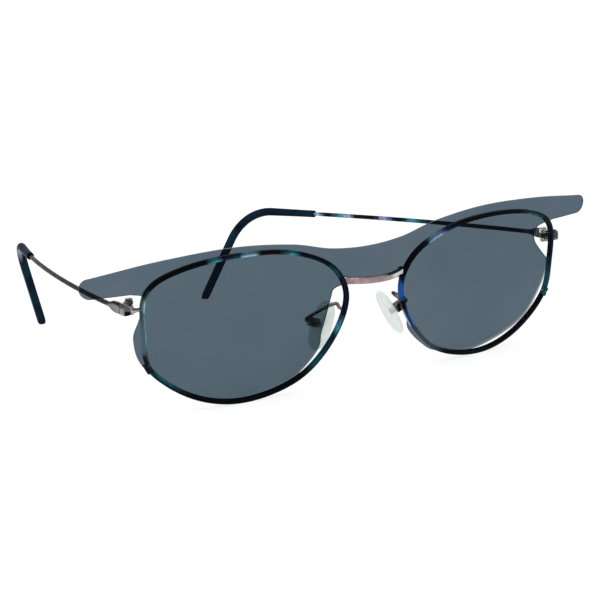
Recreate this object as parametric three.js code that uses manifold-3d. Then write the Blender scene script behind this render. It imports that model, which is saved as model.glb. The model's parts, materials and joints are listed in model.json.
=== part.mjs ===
// Wire-rim spectacles with a tinted sheet slipped in behind the rims.
// Millimetres. +Z is up, +X is the wearer's left and +Y runs back along the temples.
// The rims and the ends of the temple tips stand on the plane z = 0.
import * as THREE from 'three';
import { mergeVertices } from 'three/addons/utils/BufferGeometryUtils.js';
import Module from 'manifold-3d';

// Clearances
const seatGap = 0.3; // between pieces that are brazed, glued or laid together
const leafGap = 0.2; // between brazed hinge and pad fittings
const pinGap = 0.1; // round a screw that something turns on
const slideGap = 0.2; // between the turning faces of a hinge or a pad

// Front
const lensWidth = 52;
const lensHeight = 35.8;
const lensCentreDistance = 68;
const faceForm = 6; // degrees that each rim turns back at its outer side
const pantoscopicTilt = 8.5; // degrees that the front leans forward at the top
const frontCurveRadius = 170;

// Eyewire and lens
const rimWidth = 1.1;
const rimDepth = 1.3;
const rimRounding = 0.35;
const grooveDepth = 0.4;
const grooveWidth = 0.8;
const lensThickness = 1.2;
const lensBevelLength = 0.6;

// Closing block, in line with the eyewire where that is split
const blockHeight = 1.0; // along the rim, each half
const blockProud = 0.55; // outside the rim
const blockGap = 0.3;
const rimScrewRadius = 0.25;
const rimScrewHeadRadius = 0.38;
const rimScrewHeadHeight = 0.35;

// Bridge
const bridgeHeight = 7.5; // above the lens centres
const bridgeThickness = 1.3; // front to back
const bridgeDepth = 1.7; // top to bottom
const bridgeBow = 2.4; // forward of its ends

// Nose pads
const padArmRadius = 0.45;
const padArmHeight = 0.7; // where the arm leaves the rim, above the lens centres
const padArmLoopHeight = 1.2; // top of the arm's loop above the lens centres
const padArmLoopBack = 3.6; // top of the loop behind the rim's centreline
const padArmReach = 1.1; // straight run at each end of the arm
const padLength = 12.4;
const padWidth = 7.2;
const padThickness = 2.2;
const padShoulder = 0.4; // depth of the rounding at the edge of a flat face
const padFlatShare = 0.6; // flat part of a face, as a share of the pad's outline
const padShoulderShare = 0.9;
const padRoundness = 2.3; // power of the oval outline: 2 is an ellipse
const padInset = 10.1; // pad centre from the middle of the frame
const padSetback = 6.2; // pad centre behind the lens centres
const padDrop = 5.1; // pad centre below the lens centres
const padFrontalAngle = 25; // degrees that the lower ends spread apart
const padSplayAngle = 8; // degrees that the rear edges spread apart
const padVerticalAngle = 11; // degrees that the lower ends lean forward
const padPostWidth = 0.8;
const padPostHeight = 1.5;
const padPostDepth = 1.0; // let into the pad
const padBoxWall = 0.45;
const padBoxHeight = 2.2;
const padBoxDepth = 1.7;
const padBoxStandoff = 0.55; // box to pad, so that the pad can rock
const padScrewRadius = 0.3;
const padScrewHeadRadius = 0.6;
const padScrewHeadHeight = 0.4;

// Hinges
const hingeHeight = 7.5; // on the rim, above the lens centres
const hingeOut = 1.0; // pin outside the rim's centreline
const hingeBack = 4.25; // pin behind the rim's centreline
const barrelRadius = 1.0;
const knuckleHeight = 0.95;
const hingePinRadius = 0.45;
const hingeHeadRadius = 0.85;
const hingeHeadHeight = 0.35;
const leafThickness = 0.4;
const frontLeafLength = 1.1;
const rearLeafLength = 3.2;
const stopGap = 0.3; // between the butt of the temple and the end piece
const endPieceRadius = 0.45;
const endPieceHeight = 2.8; // of its flat
const rearLeafHeight = 2.2;

// Temples
const rightToeIn = 5.0; // degrees at the hinge, as the temples stand open
const leftToeIn = 10.2;
const buttHeight = 2.6;
const buttThickness = 0.9;
const buttLength = 3.0;
const buttTaper = 4.0;
const wireRadius = 0.58;
const templeRun = 95; // hinge to the start of the ear bend
const rightBow = 12; // degrees that the run turns inwards on its way
const leftBow = 15.2;
const earBendRadius = 15.2;
const earBendAngle = 65.4; // degrees
const earLean = 12.9; // degrees that the hook leans inwards

// Temple tips
const tipStart = 80; // along the temple
const tipRadius = 1.15;
const tipFootRadius = 0.75;
const tipFootTaper = 1.6;
const coreRadius = 0.5;
const coreTaper = 2.5;
const coreStopShort = 9; // core ends this far before the end of the tip

// Tinted shade
const shadeThickness = 0.4;
const shadeCurveRadius = 420;
const shadeShift = -0.35; // it was slipped in a little to the right
const shadeRoll = -0.5; // degrees, with its left wing the higher
const shadeNoseEdge = 6.4; // nose notch above the lens centres
const shadeNoseFlat = 4.9; // half of the straight edge over the nose
const shadeWingLength = 13.2; // beyond the lobes
const shadeWingHeight = 4.8;
const shadeWingTopDrop = 1.75; // top of the wing's end below the rims' tops
const shadeWingTopRound = 2.2; // upper corner of the wing's end; the lower corner takes the rest
const shadeWingRoot = 27.5; // start of the wing's lower edge outside the lens centre

// Counts of facets
const rimStations = 52;
const lensStations = 40;
const roundSides = 12;
const screwSides = 12;
const padSides = 20;
const padArmSides = 8;
const padArmSteps = 18;
const bridgeSteps = 10;
const endBendSteps = 6;
const runSteps = 20;
const bendSteps = 8;
const hookSteps = 4;
const tipSides = 10;
const shadeStrips = 36;
const shadeBrowSteps = 22;
const shadeLobeSteps = 48;
const shadeCornerSteps = 5;

// Powers of rounded sections: 2 is an ellipse, higher powers are boxier
const barPower = 3;
const buttPower = 5;
const lensRings = [0.35, 0.7]; // shares of the lens at which its faces have a ring of points

// Eyewire centreline of the left eye in shares of half the lens box, from the closing block up the outer side
const eyeOutline = [
  [0.94, -0.37],
  [0.995, 0.1],
  [0.99, 0.55],
  [0.9, 0.73],
  [0.62, 0.9],
  [0.1, 1.0],
  [-0.45, 0.93],
  [-0.86, 0.64],
  [-1.0, 0.25],
  [-0.9, -0.24],
  [-0.55, -0.78],
  [0.05, -1.0],
  [0.55, -0.83],
];

// Top edge of the shade: share of a lens centre's distance from the middle, and height over the rims' tops
const shadeBrow = [
  [0, -3.1],
  [0.3, -2.3],
  [0.62, 0.2],
  [1.07, 1.5],
  [1.6, 0.5],
];

// Lobe of the shade, and then its notch for the hinge, in shares of half the lens box from the nose outwards;
// the two notches are cut unequally
const shadeLobe = [
  [-0.955, 0.31],
  [-0.917, 0.2],
  [-0.862, -0.1],
  [-0.82, -0.3],
  [-0.785, -0.485],
  [-0.42, -0.9],
  [0.08, -1.02],
  [0.645, -0.745],
  [0.95, -0.345],
  [1.03, 0.02],
];
const shadeLeftNotch = [
  [0.955, 0.13],
  [0.88, 0.25],
  [0.815, 0.37],
  [0.8, 0.48],
  [0.85, 0.59],
];
const shadeRightNotch = [
  [0.985, 0.25],
  [0.935, 0.45],
  [0.95, 0.59],
];

const wasm = await Module();
wasm.setup();

const radians = THREE.MathUtils.degToRad;
const vec = (x, y, z) => new THREE.Vector3(x, y, z);

// Materials
function material(name, color, roughness, metalness, opacity = 1) {
  return new THREE.MeshStandardMaterial({
    name,
    color,
    roughness,
    metalness,
    opacity,
    transparent: opacity < 1,
  });
}

const finishes = {
  enamel: material('marbled enamel', 0x1c3450, 0.3, 0.4),
  clear: material('clear lens resin', 0xf2f6f8, 0.05, 0, 0.25),
  pale: material('pale plated metal', 0xbfa8ac, 0.3, 0.9),
  steel: material('steel', 0x8f8f88, 0.35, 0.9),
  silicone: material('silicone', 0xdfe3e0, 0.4, 0, 0.7),
  sleeve: material('dark acetate', 0x1f2c3a, 0.35, 0),
  tint: material('tinted sheet', 0x586876, 0.2, 0, 0.85),
};

// Turns a mesh right side out if its signed volume is negative
function faceOut(geometry) {
  const p = geometry.getAttribute('position');
  const index = geometry.getIndex();
  const a = vec(0, 0, 0);
  const b = vec(0, 0, 0);
  const c = vec(0, 0, 0);
  let volume = 0;
  for (let i = 0; i < index.count; i += 3) {
    a.fromBufferAttribute(p, index.getX(i));
    b.fromBufferAttribute(p, index.getX(i + 1));
    c.fromBufferAttribute(p, index.getX(i + 2));
    volume += a.dot(b.cross(c));
  }
  if (volume < 0) {
    for (let i = 0; i < index.count; i += 3) {
      const first = index.getX(i);
      index.setX(i, index.getX(i + 1));
      index.setX(i + 1, first);
    }
  }
  return geometry;
}

function meshFrom(points, triangles) {
  const geometry = new THREE.BufferGeometry().setFromPoints(points);
  geometry.setIndex(triangles);
  return faceOut(geometry);
}

// Skin over a row of rings with equal point counts. Each end is a single point or a flat section.
function skin(rings, start, end) {
  const count = rings[0].length;
  const points = rings.flat();
  const triangles = [];
  for (let i = 0; i + 1 < rings.length; i += 1) {
    for (let j = 0; j < count; j += 1) {
      const a = i * count + j;
      const b = i * count + ((j + 1) % count);
      triangles.push(a, b, a + count, b, b + count, a + count);
    }
  }
  const last = (rings.length - 1) * count;
  function close(cap, base, flip) {
    if (cap.isVector3) {
      points.push(cap);
      const pole = points.length - 1;
      for (let j = 0; j < count; j += 1) {
        const next = base + ((j + 1) % count);
        triangles.push(...(flip ? [next, base + j, pole] : [base + j, next, pole]));
      }
      return;
    }
    const flat = cap.map(([x, y]) => new THREE.Vector2(x, y));
    for (const [a, b, c] of THREE.ShapeUtils.triangulateShape(flat, [])) {
      const forward = THREE.ShapeUtils.area(flat) > 0;
      triangles.push(...(flip === forward ? [base + c, base + b, base + a] : [base + a, base + b, base + c]));
    }
  }
  close(start, 0, true);
  close(end, last, false);
  return meshFrom(points, triangles);
}

// Points of a rounded section of a given power
function section(halfX, halfY, power = 2, sides = roundSides) {
  const list = [];
  for (let i = 0; i < sides; i += 1) {
    const angle = ((i + 0.5) / sides) * 2 * Math.PI;
    const x = Math.cos(angle);
    const y = Math.sin(angle);
    list.push([
      halfX * Math.sign(x) * Math.abs(x) ** (2 / power),
      halfY * Math.sign(y) * Math.abs(y) ** (2 / power),
    ]);
  }
  return list;
}

// Places a flat section at a point, with its x along one direction and its y along another
function placed(flat, origin, alongX, alongY) {
  return flat.map(([x, y]) => origin.clone().addScaledVector(alongX, x).addScaledVector(alongY, y));
}

// Sweeps a section that may change along the way over path points, keeping its y near one direction
function sweep(path, sectionAt, up, ends = {}) {
  const rings = path.map((point, i) => {
    const before = path[Math.max(i - 1, 0)];
    const after = path[Math.min(i + 1, path.length - 1)];
    const along = after.clone().sub(before).normalize();
    const across = along.clone().cross(up).normalize();
    return placed(sectionAt(i), point, across, across.clone().cross(along));
  });
  const start = ends.start ?? sectionAt(0);
  const end = ends.end ?? sectionAt(path.length - 1);
  return skin(rings, start, end);
}

// Joins and cuts
function solidOf(geometry) {
  const bare = geometry.clone();
  bare.deleteAttribute('normal');
  bare.deleteAttribute('uv');
  const merged = mergeVertices(bare, 1e-5);
  return new wasm.Manifold(
    new wasm.Mesh({
      numProp: 3,
      vertProperties: Float32Array.from(merged.getAttribute('position').array),
      triVerts: Uint32Array.from(merged.getIndex().array),
    }),
  );
}

function geometryOf(solid) {
  const mesh = solid.getMesh();
  const geometry = new THREE.BufferGeometry();
  geometry.setAttribute('position', new THREE.BufferAttribute(Float32Array.from(mesh.vertProperties), 3));
  geometry.setIndex(Array.from(mesh.triVerts));
  return geometry;
}

const joined = (...list) => geometryOf(list.map(solidOf).reduce((a, b) => a.add(b)));
const cut = (from, tool) => geometryOf(solidOf(from).subtract(solidOf(tool)));
const common = (a, b) => geometryOf(solidOf(a).intersect(solidOf(b)));

// The other side's copy of a geometry, turned right side out again
function mirrored(geometry) {
  const copy = geometry.clone().applyMatrix4(new THREE.Matrix4().makeScale(-1, 1, 1));
  if (!copy.getIndex()) {
    copy.setIndex([...Array(copy.getAttribute('position').count).keys()]);
  }
  return faceOut(copy);
}

function extruded(shape, depth) {
  return new THREE.ExtrudeGeometry(shape, { depth, bevelEnabled: false, curveSegments: screwSides / 2 });
}

function circleHole(radius) {
  return new THREE.Path().absarc(0, 0, radius, 0, 2 * Math.PI, true);
}

function cylinder(radius, length) {
  return new THREE.CylinderGeometry(radius, radius, length, screwSides);
}

// A screw along +Y with its slotted head on top: the underside of the head is at the origin
function screw(shankRadius, shankLength, headRadius, headHeight) {
  const edge = headHeight / 3; // of the rounding round the top of the head
  const slotWidth = headRadius / 3;
  const profile = [
    [0, -shankLength],
    [shankRadius, -shankLength],
    [shankRadius, 0],
    [headRadius, 0],
    [headRadius, headHeight - edge],
    [headRadius - edge, headHeight],
    [0, headHeight],
  ];
  const body = new THREE.LatheGeometry(profile.map(([x, y]) => new THREE.Vector2(x, y)), screwSides);
  const slot = new THREE.BoxGeometry(3 * headRadius, headHeight, slotWidth);
  slot.translate(0, headHeight, 0);
  return cut(body, slot);
}

// Matrix that puts local X, Y and Z along three directions at a point
function basis(alongX, alongY, alongZ, origin) {
  return new THREE.Matrix4().makeBasis(alongX, alongY, alongZ).setPosition(origin);
}

// Eyewire of the left eye, about its own lens centre: u outwards, v up, y back along a sphere
const halfWidth = lensWidth / 2;
const halfHeight = lensHeight / 2;
const eyePlan = new THREE.CatmullRomCurve3(
  eyeOutline.map(([u, v]) => vec(u * halfWidth, 0, v * halfHeight)),
  true,
  'centripetal',
);
const eyeLength = eyePlan.getLength();

function onSphere(point) {
  return vec(point.x, (point.x ** 2 + point.z ** 2) / (2 * frontCurveRadius), point.z);
}

// Place, outward direction and back direction on the eyewire at a share of its length
function eyeFrame(share) {
  const plan = eyePlan.getPointAt(share);
  const along = eyePlan.getTangentAt(share);
  const back = vec(-plan.x / frontCurveRadius, 1, -plan.z / frontCurveRadius).normalize();
  const outward = vec(along.z, 0, -along.x);
  outward.addScaledVector(back, -outward.dot(back)).normalize();
  return { point: onSphere(plan), outward, back, along: back.clone().cross(outward).negate() };
}

// The frame on the eyewire at a height, on its outer or its nose side
function eyeFrameAtHeight(height, from, to) {
  let low = from;
  let high = to;
  for (let i = 0; i < 40; i += 1) {
    const middle = (low + high) / 2;
    const below = eyePlan.getPointAt(middle).z < height;
    const rising = eyePlan.getPointAt(to).z > eyePlan.getPointAt(from).z;
    if (below === rising) low = middle;
    else high = middle;
  }
  return eyeFrame(low);
}

// Shares of the eyewire's length between which its outer and nose sides rise or fall
const outerSide = [0, 0.12];
const noseSide = [0.44, 0.62];

// The left eye's place in the front, and the front's lean
const eyeMatrix = new THREE.Matrix4()
  .makeRotationZ(radians(faceForm))
  .setPosition(lensCentreDistance / 2, 0, 0);
const frontMatrix = new THREE.Matrix4().makeRotationX(radians(pantoscopicTilt));

function inFront(frame) {
  const turn = (v) => v.clone().transformDirection(eyeMatrix);
  return {
    point: frame.point.clone().applyMatrix4(eyeMatrix),
    outward: turn(frame.outward),
    back: turn(frame.back),
    along: turn(frame.along),
  };
}

// Section of the eyewire: outwards, then back, with a groove for the lens on its inner side
const rimSection = [
  [-rimWidth / 2, -rimDepth / 2],
  [rimWidth / 2 - rimRounding, -rimDepth / 2],
  [rimWidth / 2, -rimDepth / 2 + rimRounding],
  [rimWidth / 2, rimDepth / 2 - rimRounding],
  [rimWidth / 2 - rimRounding, rimDepth / 2],
  [-rimWidth / 2, rimDepth / 2],
  [-rimWidth / 2, grooveWidth / 2],
  [-rimWidth / 2 + grooveDepth, 0],
  [-rimWidth / 2, -grooveWidth / 2],
];

const rimSplit = blockGap + 2 * (blockHeight + seatGap);

function rimGeometry() {
  const rings = [];
  const first = rimSplit / 2 / eyeLength;
  for (let i = 0; i <= rimStations; i += 1) {
    const frame = eyeFrame(first + ((1 - 2 * first) * i) / rimStations);
    rings.push(placed(rimSection, frame.point, frame.outward, frame.back));
  }
  return skin(rings, rimSection, rimSection).applyMatrix4(eyeMatrix);
}

// Meniscus lens: rings from the middle of the front, over a bevel in the groove, to the middle of the back
function lensGeometry() {
  const bevelTip = -rimWidth / 2 + grooveDepth - seatGap;
  const half = lensThickness / 2;
  const frames = [];
  for (let i = 0; i < lensStations; i += 1) {
    frames.push(eyeFrame(i / lensStations));
  }
  function ring(inset, share, depth) {
    return frames.map((frame) => {
      const edge = frame.point.clone().addScaledVector(frame.outward, inset);
      const plan = vec(edge.x * share, 0, edge.z * share);
      const place = onSphere(plan);
      place.y += depth;
      return place;
    });
  }
  const shoulder = bevelTip - lensBevelLength;
  const front = [...lensRings, 1].map((share) => ring(shoulder, share, -half));
  const back = [...lensRings, 1].reverse().map((share) => ring(shoulder, share, half));
  const rings = [...front, ring(bevelTip, 1, 0), ...back];
  return skin(rings, vec(0, -half, 0), vec(0, half, 0)).applyMatrix4(eyeMatrix);
}

// Closing block: two halves between the ends of the eyewire, grooved like it, and the screw through them
const blockFrame = inFront(eyeFrame(0));
const blockMatrix = basis(blockFrame.outward, blockFrame.back, blockFrame.along, blockFrame.point);
const blockOuter = rimWidth / 2 + blockProud;
const rimScrewOut = (grooveDepth - rimWidth / 2 + blockOuter) / 2; // midway from the groove to the outside
const lowerBase = -blockGap / 2 - blockHeight;

function blockGeometry(side) {
  const inner = -rimWidth / 2;
  const outline = [
    [inner, -rimDepth / 2],
    [blockOuter - rimRounding, -rimDepth / 2],
    [blockOuter, rimRounding - rimDepth / 2],
    [blockOuter, rimDepth / 2 - rimRounding],
    [blockOuter - rimRounding, rimDepth / 2],
    [inner, rimDepth / 2],
    [inner, grooveWidth / 2],
    [inner + grooveDepth, 0],
    [inner, -grooveWidth / 2],
  ];
  const shape = new THREE.Shape(outline.map(([x, y]) => new THREE.Vector2(x, y)));
  const base = side > 0 ? blockGap / 2 : lowerBase;
  const block = extruded(shape, blockHeight).translate(0, 0, base);
  const bore = cylinder(rimScrewRadius + pinGap, 4 * blockHeight).rotateX(Math.PI / 2);
  bore.translate(rimScrewOut, 0, 0);
  if (side > 0) return cut(block, bore).applyMatrix4(blockMatrix);
  const seat = cylinder(rimScrewHeadRadius + pinGap, 2 * (rimScrewHeadHeight + pinGap));
  seat.rotateX(Math.PI / 2).translate(rimScrewOut, 0, lowerBase);
  return cut(cut(block, bore), seat).applyMatrix4(blockMatrix);
}

// The head lies flush in the lower half
function rimScrewGeometry() {
  const length = 2 * blockHeight + blockGap - rimScrewHeadHeight - pinGap;
  return screw(rimScrewRadius, length, rimScrewHeadRadius, rimScrewHeadHeight)
    .rotateX(-Math.PI / 2)
    .translate(rimScrewOut, 0, lowerBase + rimScrewHeadHeight)
    .applyMatrix4(blockMatrix);
}

// Bridge: a bar from rim to rim, bowed forwards
function bridgeGeometry() {
  const frame = inFront(eyeFrameAtHeight(bridgeHeight, ...noseSide));
  const end = frame.point.clone().addScaledVector(frame.outward, rimWidth / 2 + seatGap);
  end.x -= bridgeDepth / 2 * Math.abs(frame.outward.z);
  const curve = new THREE.QuadraticBezierCurve3(
    vec(-end.x, end.y, end.z),
    vec(0, end.y - 2 * bridgeBow, end.z),
    end,
  );
  const bar = section(bridgeThickness / 2, bridgeDepth / 2, barPower);
  return sweep(curve.getPoints(bridgeSteps), () => bar, vec(0, 0, 1));
}

// Nose pad: local X runs to the back edge, Y along the face's normal towards the nose and Z up the pad
const padLong = vec(-Math.sin(radians(padFrontalAngle)), Math.sin(radians(padVerticalAngle)), 0);
padLong.z = Math.sqrt(1 - padLong.lengthSq());
const padNormal = vec(-Math.cos(radians(padSplayAngle)), Math.sin(radians(padSplayAngle)), 0);
padNormal.addScaledVector(padLong, -padNormal.dot(padLong)).normalize();
const padAcross = padNormal.clone().cross(padLong).normalize();
const padCentre = vec(padInset, padSetback, -padDrop);
const padMatrix = basis(padAcross, padNormal, padLong, padCentre);
const padBack = -padThickness / 2;
const padPivotY = padBack - padBoxStandoff - padBoxDepth / 2;
const padPostGap = padPostWidth + 2 * slideGap;

function padGeometry() {
  const levels = [
    [padFlatShare, -padThickness / 2],
    [padShoulderShare, padShoulder - padThickness / 2],
    [1, 0],
    [padShoulderShare, padThickness / 2 - padShoulder],
    [padFlatShare, padThickness / 2],
  ];
  const oval = (share) => section((share * padWidth) / 2, (share * padLength) / 2, padRoundness, padSides);
  const rings = levels.map(([share, y]) => oval(share).map(([x, z]) => vec(x, y, z)));
  const face = oval(1);
  const pad = skin(rings, face, face);
  const pocketDepth = padPostDepth + seatGap;
  const pocket = new THREE.BoxGeometry(
    padPostWidth + 2 * seatGap,
    2 * pocketDepth,
    padPostHeight + 2 * seatGap,
  );
  pocket.translate(0, padBack, 0);
  return cut(pad, pocket).applyMatrix4(padMatrix);
}

function padPostGeometry() {
  const top = padBack + padPostDepth;
  const bottom = padPivotY - padPostHeight / 2;
  const post = new THREE.BoxGeometry(padPostWidth, top - bottom, padPostHeight);
  post.translate(0, (top + bottom) / 2, 0);
  const bore = cylinder(padScrewRadius + pinGap, 2 * padPostWidth);
  bore.rotateZ(Math.PI / 2).translate(0, padPivotY, 0);
  return cut(post, bore).applyMatrix4(padMatrix);
}

function padBoxGeometry() {
  const outer = padPostGap / 2 + padBoxWall;
  const front = padPivotY + padBoxDepth / 2;
  const floorTop = padPivotY - padPostHeight / 2 - slideGap;
  const shape = new THREE.Shape();
  shape.moveTo(-outer, front);
  shape.lineTo(-outer, floorTop - padBoxWall);
  shape.lineTo(outer, floorTop - padBoxWall);
  shape.lineTo(outer, front);
  shape.lineTo(padPostGap / 2, front);
  shape.lineTo(padPostGap / 2, floorTop);
  shape.lineTo(-padPostGap / 2, floorTop);
  shape.lineTo(-padPostGap / 2, front);
  shape.closePath();
  const box = extruded(shape, padBoxHeight).translate(0, 0, -padBoxHeight / 2);
  const bore = cylinder(padScrewRadius + pinGap, 4 * outer);
  bore.rotateZ(Math.PI / 2).translate(0, padPivotY, 0);
  return cut(box, bore).applyMatrix4(padMatrix);
}

function padScrewGeometry() {
  const outer = padPostGap / 2 + padBoxWall;
  return screw(padScrewRadius, 2 * outer + pinGap, padScrewHeadRadius, padScrewHeadHeight)
    .rotateZ(-Math.PI / 2)
    .translate(outer + pinGap, padPivotY, 0)
    .applyMatrix4(padMatrix);
}

// Pad arm: back from the rim, up over a loop and down to the back of the box
function padArmGeometry() {
  const frame = inFront(eyeFrameAtHeight(padArmHeight, ...noseSide));
  const crown = inFront(eyeFrameAtHeight(padArmLoopHeight, ...noseSide));
  const start = frame.point.clone().addScaledVector(frame.back, rimDepth / 2 + seatGap);
  const boxBack = padPivotY - padPostHeight / 2 - slideGap - padBoxWall;
  const end = vec(0, boxBack - leafGap, 0).applyMatrix4(padMatrix);
  const curve = new THREE.CatmullRomCurve3([
    start,
    start.clone().addScaledVector(frame.back, padArmReach),
    crown.point.clone().addScaledVector(crown.back, padArmLoopBack),
    vec(0, boxBack - leafGap - padArmReach, 0).applyMatrix4(padMatrix),
    end,
  ]);
  const wire = section(padArmRadius, padArmRadius, 2, padArmSides);
  return sweep(curve.getSpacedPoints(padArmSteps), () => wire, vec(1, 0, 0));
}

// Hinge pin of the left temple, upright beside the rim
const hingeFrame = inFront(eyeFrameAtHeight(hingeHeight, ...outerSide));
const hingeRim = hingeFrame.point.clone().applyMatrix4(frontMatrix);
const hingePin = hingeRim.clone().add(vec(hingeOut, hingeBack, 0));
const knucklePitch = knuckleHeight + slideGap;
const hingeTall = knuckleHeight + 2 * knucklePitch;
const leafInner = barrelRadius + pinGap;
const buttInner = leafInner + leafThickness + leafGap;
const templeLine = buttInner + buttThickness / 2;

// One knuckle seen from above: a bored barrel with a tongue to its leaf, in front of the pin or behind it
function knuckle(level, side) {
  const reach = leafInner + leafThickness / 2;
  const start = Math.asin(slideGap / barrelRadius);
  const shape = new THREE.Shape();
  shape.moveTo(barrelRadius * Math.cos(start), slideGap);
  shape.lineTo(reach, slideGap);
  shape.lineTo(reach, barrelRadius);
  shape.lineTo(0, barrelRadius);
  shape.absarc(0, 0, barrelRadius, Math.PI / 2, start, false);
  shape.holes.push(circleHole(hingePinRadius + pinGap));
  const layer = mergeVertices(extruded(shape, knuckleHeight)).scale(1, side, 1);
  return faceOut(layer).translate(0, 0, level * knucklePitch - knuckleHeight / 2);
}

function leafPlate(from, to, height) {
  const plate = new THREE.BoxGeometry(leafThickness, Math.abs(to - from), height);
  return plate.translate(leafInner + leafThickness / 2, (from + to) / 2, 0);
}

function frontLeafGeometry() {
  const plate = leafPlate(-stopGap / 2 - frontLeafLength, -stopGap / 2, hingeTall);
  return joined(plate, knuckle(-1, -1), knuckle(1, -1));
}

function rearLeafGeometry() {
  const plate = leafPlate(stopGap / 2, stopGap / 2 + rearLeafLength, rearLeafHeight);
  return joined(plate, knuckle(0, 1));
}

function hingeScrewGeometry() {
  const top = hingeTall / 2 + pinGap;
  return screw(hingePinRadius, hingeTall + pinGap, hingeHeadRadius, hingeHeadHeight)
    .rotateX(Math.PI / 2)
    .translate(0, 0, top);
}

// End piece: a rod from the rim that flares into a flat round the bend to the front leaf
function endPieceGeometry() {
  const outward = hingeFrame.outward.clone().transformDirection(frontMatrix);
  const start = hingeRim.clone().addScaledVector(outward, rimWidth / 2 + seatGap);
  const end = hingePin.clone().add(vec(templeLine, -stopGap / 2, 0));
  start.z = end.z;
  const turn = end.clone().add(vec(0, -frontLeafLength - endPieceRadius, 0));
  const corner = vec(end.x, start.y, end.z);
  const bend = new THREE.QuadraticBezierCurve3(start, corner, turn);
  const path = [...bend.getPoints(endBendSteps), turn.clone().lerp(end, 0.5), end];
  function sectionAt(i) {
    const flare = THREE.MathUtils.smoothstep(i, 0, endBendSteps - 1);
    const halfThick = THREE.MathUtils.lerp(endPieceRadius, buttThickness / 2, flare);
    const halfTall = THREE.MathUtils.lerp(endPieceRadius, endPieceHeight / 2, flare);
    return section(halfThick, halfTall, THREE.MathUtils.lerp(2, buttPower, flare));
  }
  return sweep(path, sectionAt, vec(0, 0, 1));
}

// Temple path from the front of the butt: a run that bows inwards, the ear bend, and the hook to the floor
function templePath(floor, bowAngle) {
  const points = [vec(templeLine, stopGap / 2, 0)];
  const distances = [0];
  const heading = (turn) => vec(-Math.sin(turn), Math.cos(turn), 0);
  function step(direction, length) {
    points.push(points.at(-1).clone().addScaledVector(direction, length));
    distances.push(distances.at(-1) + length);
  }
  const bow = radians(bowAngle);
  for (let i = 0; i < runSteps; i += 1) {
    step(heading((bow * (i + 0.5)) / runSteps), templeRun / runSteps);
  }
  const ahead = heading(bow);
  const inward = vec(-ahead.y, ahead.x, 0);
  function dip(share) {
    const down = radians(earBendAngle) * share;
    const lean = radians(earLean) * share;
    const direction = ahead.clone().multiplyScalar(Math.cos(down));
    direction.z = -Math.sin(down);
    return direction.multiplyScalar(Math.cos(lean)).addScaledVector(inward, Math.sin(lean));
  }
  const bendLength = earBendRadius * radians(earBendAngle);
  for (let i = 0; i < bendSteps; i += 1) {
    step(dip((i + 0.5) / bendSteps), bendLength / bendSteps);
  }
  const hook = dip(1);
  const hookLength = (points.at(-1).z - floor) / -hook.z;
  for (let i = 0; i < hookSteps; i += 1) {
    step(hook, hookLength / hookSteps);
  }
  return { points, distances, length: distances.at(-1) };
}

// Part of a path between two distances, with extra stations at given distances
const stationGap = tipRadius; // least distance between stations
function pathBetween(path, from, to, extra = []) {
  function at(distance) {
    let i = 1;
    while (i < path.distances.length - 1 && path.distances[i] < distance) i += 1;
    const share = (distance - path.distances[i - 1]) / (path.distances[i] - path.distances[i - 1]);
    return path.points[i - 1].clone().lerp(path.points[i], share);
  }
  const fixed = [from, ...extra, to];
  const apart = (d) => fixed.every((f) => Math.abs(f - d) > stationGap);
  const inside = path.distances.filter((d) => d > from && d < to && apart(d));
  const stations = [...fixed, ...inside].sort((a, b) => a - b);
  return { stations, points: stations.map(at) };
}

// Temple: a flat butt that tapers into a round wire, thinned to a core inside the tip
function templeGeometry(path) {
  const taperEnd = buttLength + buttTaper;
  const stops = [buttLength, buttLength + buttTaper / 2, taperEnd, tipStart - coreTaper, tipStart - seatGap];
  const { stations, points } = pathBetween(path, 0, path.length - coreStopShort, stops);
  function sectionAt(i) {
    const s = stations[i];
    const taper = THREE.MathUtils.smoothstep(s, buttLength, taperEnd);
    const thin = THREE.MathUtils.smoothstep(s, tipStart - coreTaper, tipStart - seatGap);
    const round = THREE.MathUtils.lerp(wireRadius, coreRadius, thin);
    const halfThick = THREE.MathUtils.lerp(buttThickness / 2, round, taper);
    const halfTall = THREE.MathUtils.lerp(buttHeight / 2, round, taper);
    return section(halfThick, halfTall, THREE.MathUtils.lerp(buttPower, 2, taper));
  }
  return sweep(points, sectionAt, vec(0, 0, 1));
}

// Temple tip: a sleeve with a blind bore for the core, flat where it stands on the floor
function tipGeometry(path) {
  const boreEnd = path.length - coreStopShort + 2 * seatGap;
  const bore = pathBetween(path, tipStart, boreEnd);
  const skinPath = pathBetween(path, tipStart, path.length - tipFootTaper);
  function rings(part, radius) {
    return part.points.map((point, i) => {
      const before = part.points[Math.max(i - 1, 0)];
      const after = part.points[Math.min(i + 1, part.points.length - 1)];
      const along = after.clone().sub(before).normalize();
      const across = along.clone().cross(vec(0, 0, 1)).normalize();
      return placed(section(radius, radius, 2, tipSides), point, across, across.clone().cross(along));
    });
  }
  const inner = rings(bore, coreRadius + seatGap).reverse();
  const outer = rings(skinPath, tipRadius);
  const foot = path.points.at(-1);
  const last = skinPath.points.at(-1);
  const along = foot.clone().sub(last).setZ(0).normalize();
  const across = vec(along.y, -along.x, 0);
  const footSection = section(tipFootRadius, tipFootRadius, 2, tipSides);
  outer.push(placed(footSection, foot, across, along));
  return skin([...inner, ...outer], bore.points.at(-1), footSection);
}

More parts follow.
